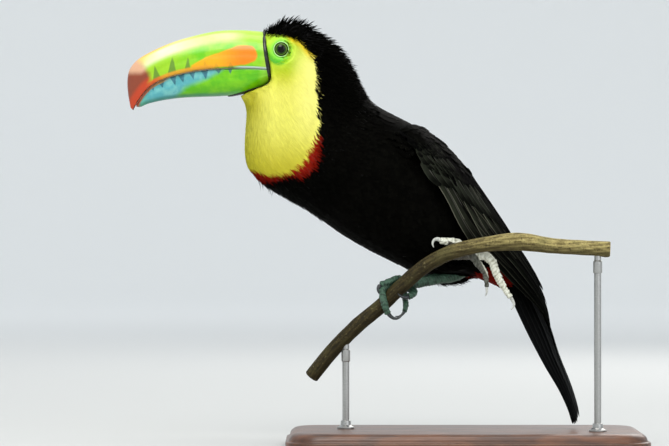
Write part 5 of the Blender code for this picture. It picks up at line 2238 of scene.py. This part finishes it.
@dataclass
class Legs:
    """The bare legs and feet, each one skin with scutes, and their claws."""

    voxel: float = 0.00046
    weld: float = 0.00028
    scute_pitch: float = 0.0026
    scute_height: float = 0.0009
    crest: float = 0.70
    lump: float = 0.0034
    spreading: int = 420
    # Where the left foot's sole and its inner front toe lie, which get a painted shadow.
    shadowed_toe: tuple = (
        (-0.0160, 0.1540), (-0.0160, 0.1720), (0.0030, 0.1650), (0.0090, 0.1590), (0.0135, 0.1510),
        (0.0190, 0.1400), (0.0190, 0.1240), (0.0120, 0.1240), (0.0060, 0.1440),
    )
    # The left leg and foot are painted pale, as in sunlight, and the right ones dark, as in shade: lit
    # and shaded copies of one blue-grey skin.
    finishes = {
        Side.LEFT: LegFinish((240, 242, 226), (190, 190, 168), (112, 110, 90)),
        Side.RIGHT: LegFinish((64, 99, 78), (16, 34, 27), (4, 10, 8)),
    }
    # Claws likewise: painted pale as in sunlight on the left, dark as in shade on the right.
    claw_finishes = {
        Side.LEFT: HornFinish((206, 208, 200), (168, 170, 164)),
        Side.RIGHT: HornFinish((46, 52, 54), (17, 20, 21)),
    }

    @staticmethod
    def travelled(points: Array, edges: Array, start: int) -> Array:
        """How far each point is from a start, along a mesh's edges."""
        beside: list[list[tuple[int, float]]] = [[] for _ in range(len(points))]
        lengths = np.linalg.norm(points[edges[:, 0]] - points[edges[:, 1]], axis=1)
        for (one, two), length in zip(edges.tolist(), lengths.tolist()):
            beside[one].append((two, length))
            beside[two].append((one, length))
        reached = [math.inf] * len(points)
        reached[start] = 0.0
        queue = [(0.0, start)]
        while queue:
            far, here = heapq.heappop(queue)
            if far > reached[here]:
                continue
            for other, length in beside[here]:
                if far + length < reached[other]:
                    reached[other] = far + length
                    heapq.heappush(queue, (far + length, other))
        array = np.array(reached)
        return np.where(np.isfinite(array), array, 0.0)

    def limb(self, side: Side) -> None:
        """One leg and foot as a single skin."""
        names = [side.node("leg"), side.node("foot")]
        mesh = grown_together(names, self.weld, self.voxel)
        mesh.name = side.node("limb_skin")
        edges = edges_of(mesh)
        points = relaxed(points_of(mesh), edges, 5)
        leg_low, leg_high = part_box(names[0])
        top = np.array((leg_low.x if side is Side.LEFT else leg_high.x, MIDLINE, leg_high.z))
        start = int(np.argmin(np.linalg.norm(points - top, axis=1)))
        far = self.travelled(points, edges, start)
        far = relaxed(far[:, None], edges, self.spreading)[:, 0]
        lumps = np.array([noise.noise(Vector(p)) for p in (points / self.lump).tolist()])
        saw = (far / self.scute_pitch + lumps * 0.55) % 1.0
        rise, fall = np.sin(np.pi / 2 * (saw / self.crest)), 1 - ramp(saw, self.crest, 1.0)
        scute = np.where(saw < self.crest, rise, fall)
        scute = scute * 0.62 + ramp(lumps, -0.45, 0.45) * 0.38
        scute = relaxed(scute[:, None], edges, 2)[:, 0]
        move_points(mesh, points)
        normals = normals_of(mesh)
        move_points(mesh, points + normals * ((scute - 0.6) * self.scute_height)[:, None])
        mesh.shade_smooth()
        # painted shadow: how far inside the shadowed toe's outline each point lies
        dark = depth_inside(points[:, (0, 2)], self.shadowed_toe) * (side is Side.LEFT) / MM
        store(mesh, {"scute": scute, "dark": dark})
        add_piece(mesh, self.finishes[side], "leg_skin", names)

    def claw(self, side: Side, number: int) -> None:
        """One claw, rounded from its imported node."""
        node = f"{side.node('claw')}_{number}"
        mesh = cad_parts[node].data.copy()
        with edited(mesh) as work:
            bmesh.ops.remove_doubles(work, verts=work.verts, dist=WELD)
        made = modified(mesh, "SUBSURF", levels=2, subdivision_type="CATMULL_CLARK")
        made.name = f"{side.node('talon')}_{number}"
        made.shade_smooth()
        add_piece(made, self.claw_finishes[side], "claw", [node])

    def build(self) -> None:
        """Builds both legs and all the claws, and adds them."""
        for side in Side:
            self.limb(side)
            for number in range(1, 5):
                self.claw(side, number)


# ---------------------------------------------------------------- perch and stand


@dataclass(frozen=True)
class BarkFinish(Finish):
    """Olive-brown bark with fine furrows, pale flecks and lichen, and pale wood at the cuts."""

    def paint(self, shader: Shader) -> None:
        """Coloured by the furrows' depth and by slow blotches, with painted shade on the underside."""
        furrow, cut, under = shader.marks("furrow", "cut", "under")
        blotch = shader.noise(0.016, 4.0)
        fleck = shader.noise(0.0016, 4.0)
        share = (furrow * 0.35 + blotch * 0.4 + fleck * 0.35).step(0.30, 0.80)
        # lighter towards the rear end of the branch, along X
        rearward = shader.axis(0).step(-0.050, 0.062)
        rings = (cut * 26.0 + shader.noise(0.003) * 4.0).wave() * 0.5
        colour = shader.layers(
            shader.blend((30, 26, 10), (68, 58, 29), share),
            (shader.blend((92, 80, 44), (180, 166, 106), share), rearward),
            ((78, 78, 42), blotch.step(0.50, 0.68) * 0.40),
            ((186, 174, 128), fleck.step(0.60, 0.74) * (0.25 + rearward * 0.35)),
            ((34, 28, 14), fleck.step(0.42, 0.30) * 0.6),
            # painted shade on the underside
            ((38, 31, 10), under * (0.35 + fleck * 0.5)),
            (shader.blend((206, 178, 128), (170, 134, 86), rings), cut.step(0.0, 0.02)),
        )
        shader.finish(
            Base_Color=colour,
            Roughness=fleck * 0.15 + 0.70,
            Normal=shader.bump(furrow * 0.5 + fleck, 0.0004),
            Specular_IOR_Level=0.25,
        )


@dataclass
class Perch:
    """The cut length of branch: its bark furrows, its knot and its two sawn ends."""

    line: tuple = (
        (-0.1290, 0.0180, 0.0570), (-0.1110, 0.0120, 0.0795), (-0.0899, 0.0060, 0.1008),
        (-0.0714, 0.0015, 0.1162), (-0.0580, -0.0035, 0.1294), (-0.0428, -0.0100, 0.1436),
        (-0.0269, -0.0170, 0.1550), (-0.0076, -0.0240, 0.1634), (0.0160, -0.0290, 0.1684),
        (0.0420, -0.0320, 0.1705), (0.0697, -0.0340, 0.1672), (0.0966, -0.0360, 0.1655),
        (0.1175, -0.0380, 0.1647),
    )
    radius: float = 0.0064
    knot_radius: float = 0.0077
    knot_station: float = 9.0
    knot_length: float = 0.7
    rings: int = 420
    sides: int = 64
    groove: float = 0.00034
    # The sawn ends' rings: how far each is drawn in to the middle.
    end_rings: tuple = (0.12, 0.3, 0.5, 0.7, 0.9)
    # Bumps in the bark: how far along and how far round each lies, its size and its height.
    bumps: tuple = (
        (0.060, 0.6, 0.0040, 0.0007), (0.118, 2.4, 0.0050, 0.0009), (0.170, 5.2, 0.0042, 0.0008),
        (0.232, 1.4, 0.0055, 0.0010), (0.262, 4.4, 0.0038, 0.0009), (0.292, 3.1, 0.0045, 0.0011),
    )

    def build(self) -> None:
        """Builds the branch and adds it."""
        at = np.linspace(0, len(self.line) - 1, self.rings)
        line = spline(self.line, at)
        knot = np.exp(-(((at - self.knot_station) / self.knot_length) ** 2))
        radius = self.radius + (self.knot_radius - self.radius) * knot
        turn = turns(self.sides)
        along = lengths_along(line)[:, None]
        swirl = turn + 0.55 * np.sin(along / 0.045) + 3.0 * along
        furrow = (
            np.sin(9 * swirl + 2.2 * np.sin(along / 0.011))
            + 0.7 * np.sin(17 * swirl + 1.7 * np.sin(along / 0.0061 + 1.0))
            + 0.5 * np.sin(27 * swirl - along / 0.0042)
            + 0.9 * np.sin(along / 0.0021 + 3 * np.sin(2 * turn)) * np.sin(3 * turn + along / 0.03) ** 2
        )
        furrow = np.clip(0.5 + furrow / 4.4, 0, 1)
        swell = np.zeros_like(furrow)
        for place, side, size, height in self.bumps:
            beside = np.abs((turn - side + np.pi) % (2 * np.pi) - np.pi) * self.radius
            swell += height * np.exp(-((along - place) ** 2 + beside**2) / size**2)
        shape = radius[:, None] + (furrow - 0.85) * self.groove + swell - 0.0002
        ease = np.minimum(1, np.minimum(along, along[-1] - along) / 0.0008)
        rings = tube_rings(line, shape - 0.0006 * (1 - ease), self.sides)
        ends = []
        for ring in (rings[0], rings[-1]):
            centre = ring.mean(0)
            ends.append(np.stack([centre + (ring - centre) * (1 - s) for s in self.end_rings]))
        points, faces = capped_loft(np.concatenate([ends[0][::-1], rings, ends[1]]))
        mesh = outward(fast_mesh("branch", points, faces))
        inset = np.repeat(np.array(self.end_rings)[:, None], self.sides, 1)
        blank = np.zeros_like(inset)
        grooves = np.concatenate([blank, furrow, blank]).ravel()
        cut = np.concatenate([inset[::-1], np.zeros_like(furrow), inset]).ravel()
        # painted shade: more on the points that face down
        under = ramp(normals_of(mesh)[:, 2], 0.15, -0.55)
        grooves, cut = np.append(grooves, (0, 0)), np.append(cut, (1, 1))
        store(mesh, {"furrow": grooves, "cut": cut, "under": under})
        add_piece(mesh, BarkFinish(), "bark", ["perch"])


@dataclass(frozen=True)
class WoodFinish(Finish):
    """Dark oiled hardwood, its grain along X."""

    def paint(self, shader: Shader) -> None:
        """Long grain, darker pores and a satin coat."""
        grain = shader.noise(0.0035, 5.0, (0.06, 1.0, 1.0))
        figure = (shader.noise(0.020, 3.0, (0.25, 1.0, 1.0)) * 26.0).wave()
        pores = shader.noise(0.0009, 2.0, (0.04, 1.0, 1.0)).step(0.60, 0.72)
        colour = shader.layers(
            (60, 34, 20),
            ((112, 68, 40), figure * 0.55 + grain * 0.45),
            ((30, 17, 10), pores * 0.7),
        )
        shader.finish(
            Base_Color=colour,
            Roughness=grain * 0.2 + 0.30,
            Normal=shader.bump(grain * 0.5 + (1 - pores) * 0.5, 0.00015),
            Coat_Weight=0.25,
            Coat_Roughness=0.22,
        )


@dataclass(frozen=True)
class SteelFinish(Finish):
    """Brushed steel, brushed round the rod."""

    def paint(self, shader: Shader) -> None:
        """Fine turned lines along its height."""
        lines = shader.noise(0.0004, 3.0, (0.15, 0.15, 1.0))
        shader.finish(
            Base_Color=shader.blend((150, 150, 148), (196, 196, 194), lines),
            Metallic=1.0,
            Roughness=lines * 0.18 + 0.24,
            Normal=shader.bump(lines, 0.00002),
        )


@dataclass
class Stand:
    """The flat wooden base and the two steel rods that hold the branch."""

    corner: float = 0.030
    corner_steps: int = 14
    rod_sides: int = 48
    # The rod's turned foot and its ferrule, as factors on its radius, each with its height over
    # the base or its depth below the rod's top.
    rod_foot: tuple = (
        (2.5, 0.0001), (2.55, 0.0006), (2.5, 0.0016), (1.9, 0.0022), (1.55, 0.0032),
        (1.45, 0.0060), (1.40, 0.0068), (1, 0.0072),
    )
    ferrule: tuple = (
        (1, 0.0150), (1.22, 0.0146), (1.28, 0.0140), (1.28, 0.0052), (1.12, 0.0046),
        (1, 0.0042), (0.96, 0.0006), (0.80, 0.0),
    )
    # The base's edge from below: how far it is set in, and its share of the base's height.
    moulding: tuple = (
        (0.0012, 0.0), (0.0004, 0.03), (0.0, 0.09), (0.0, 0.40), (0.0003, 0.44), (0.0012, 0.47),
        (0.0024, 0.49), (0.0028, 0.53), (0.0030, 0.60), (0.0034, 0.70), (0.0044, 0.80),
        (0.0060, 0.89), (0.0080, 0.955), (0.0102, 0.99), (0.0120, 1.0),
    )

    def outline(self, low: Vector, high: Vector, inset: float) -> Array:
        """The base's outline with round corners, set in by that much."""
        points = []
        for sign_x, sign_y, start in ((1, 1, 0.0), (-1, 1, 0.5), (-1, -1, 1.0), (1, -1, 1.5)):
            corner_x = (high.x if sign_x > 0 else low.x) - sign_x * self.corner
            corner_y = (high.y if sign_y > 0 else low.y) - sign_y * self.corner
            for turn in np.linspace(start, start + 0.5, self.corner_steps) * np.pi:
                reach = self.corner - inset
                points.append((corner_x + reach * math.cos(turn), corner_y + reach * math.sin(turn)))
        return np.array(points)

    def base(self) -> None:
        """The moulded board."""
        low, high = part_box("stand_base")
        rings = []
        for inset, share in self.moulding:
            flat = self.outline(low, high, inset)
            height = np.full((len(flat), 1), low.z + (high.z - low.z) * share)
            rings.append(np.concatenate([flat, height], 1))
        points, faces = capped_loft(np.array(rings))
        mesh = outward(fast_mesh("display_base", points, faces))
        mesh.set_sharp_from_angle(angle=math.radians(40))
        add_piece(mesh, WoodFinish(), "stand_wood", ["stand_base"])

    def rod(self, node: str, name: str) -> None:
        """One rod, with a turned foot on the base and a ferrule under the branch."""
        low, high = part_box(node)
        radius = (high.x - low.x) / 2
        foot = float(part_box("stand_base")[1].z)
        profile = [(radius * 0.9, low.z)]
        profile += [(radius * wide, foot + rise) for wide, rise in self.rod_foot]
        profile += [(radius * wide, high.z - fall) for wide, fall in self.ferrule]
        centre = (low + high) / 2
        points, faces = capped_loft(revolved(profile, self.rod_sides, centre.x, centre.y))
        mesh = outward(fast_mesh(name, points, faces))
        mesh.set_sharp_from_angle(angle=math.radians(35))
        add_piece(mesh, SteelFinish(), "stand_metal", [node])

    def build(self) -> None:
        """Builds the stand and adds it."""
        self.base()
        self.rod("stand_rod_front", "display_rod_front")
        self.rod("stand_rod_back", "display_rod_back")


# ---------------------------------------------------------------- studio


@dataclass(frozen=True)
class BackdropFinish(Finish):
    """Matt pale paper."""

    def paint(self, shader: Shader) -> None:
        """Darker under the lamps than far off, so that it looks even all over."""
        drift = shader.noise(2.2, 1.0)
        away = (shader.axis(0) ** 2 + shader.axis(1) ** 2) ** 0.5
        colour = shader.blend((196, 198, 197), (246, 247, 246), away.step(0.2, 5.0))
        shader.finish(
            Base_Color=shader.tinted(colour, drift * 0.04 + 0.97),
            Roughness=drift * 0.05 + 0.85,
            Specular_IOR_Level=0.1,
        )


@dataclass(frozen=True)
class Lamp:
    """One softbox: where it stands, how large it is and how strong."""

    name: str
    place: tuple[float, float, float]
    size: float
    power: float
    hue: Hue = (255, 250, 244)


@dataclass
class Studio:
    """A plain pale bowl of floor and wall, soft lamps, and the camera off the bird's left side."""

    flat: float = 6.0
    wall: float = 8.5
    height: float = 5.0
    sides: int = 96
    distance: float = 3.12
    lens: float = 200.0
    sensor: float = 36.0
    aim_ahead: float = -0.0429
    aim_above: float = 0.0072
    lamps: tuple[Lamp, ...] = (
        Lamp("key", (-0.55, -1.55, 1.85), 1.1, 28.0),
        Lamp("fill", (1.35, -1.70, 0.85), 1.6, 9.0, (246, 247, 250)),
        Lamp("rim", (0.75, 1.65, 1.35), 1.2, 14.0),
        Lamp("top", (-0.10, -0.10, 2.30), 1.0, 12.0),
    )

    def backdrop(self) -> None:
        """The floor, curving up into a wall all round."""
        bend = np.linspace(0, np.pi / 2, 14)
        curve = self.wall - self.flat
        profile = [(0.0005, 0.0), (0.5, 0.0), (2.0, 0.0), (4.0, 0.0)]
        profile += [(self.flat + curve * math.sin(b), curve * (1 - math.cos(b))) for b in bend]
        profile.append((self.wall, self.height))
        points = revolved(profile, self.sides).reshape(-1, 3)
        mesh = fast_mesh("backdrop", points, [grid_faces(len(profile), self.sides, closed=True)])
        mesh.materials.append(BackdropFinish().material())
        placed("backdrop", mesh)

    def lights(self) -> None:
        """The softboxes, and an even pale sky."""
        for lamp in self.lamps:
            data = bpy.data.lights.new(lamp.name, "AREA")
            data.shape, data.size, data.energy = "SQUARE", lamp.size, lamp.power
            data.color = linear(lamp.hue)[:3]
            made = placed(lamp.name, data)
            made.location = lamp.place
            way = self.aim() - Vector(lamp.place)
            made.rotation_euler = way.to_track_quat("-Z", "Y").to_euler()
        world = bpy.data.worlds.new("sky")
        world.use_nodes = True
        sky = world.node_tree.nodes["Background"].inputs
        sky["Color"].default_value = linear((236, 241, 246))
        sky["Strength"].default_value = 0.95
        bpy.context.scene.world = world

    def aim(self) -> Vector:
        """The point that the camera looks at."""
        middle = (CAD_BOX[0] + CAD_BOX[1]) / 2
        return Vector((middle.x + self.aim_ahead, MIDLINE, middle.z + self.aim_above))

    def camera(self) -> None:
        """The camera: level, square to the bird's left side."""
        data = bpy.data.cameras.new("camera")
        data.lens, data.sensor_width = self.lens, self.sensor
        data.clip_start, data.clip_end = 0.05, 60.0
        made = placed("camera", data)
        made.location = self.aim() - Vector((0, self.distance, 0))
        made.rotation_euler = (math.radians(90), 0, 0)
        bpy.context.scene.camera = made

    def build(self) -> None:
        """Sets up the studio."""
        self.backdrop()
        self.lights()
        self.camera()
        bpy.context.scene.view_settings.view_transform = "Standard"


# ---------------------------------------------------------------- the whole


def main() -> None:
    """Builds everything in order."""
    logging.basicConfig(level=logging.INFO, format="%(message)s", stream=sys.stdout)
    Studio().build()
    Stand().build()
    Perch().build()
    Bill().build()
    Eyes().build()
    Legs().build()
    skin = Skin().build()
    Plumage(skin).build()
    for side in Side:
        Wing(side).build()
    Tail().build()


if __name__ == "__main__":
    main()
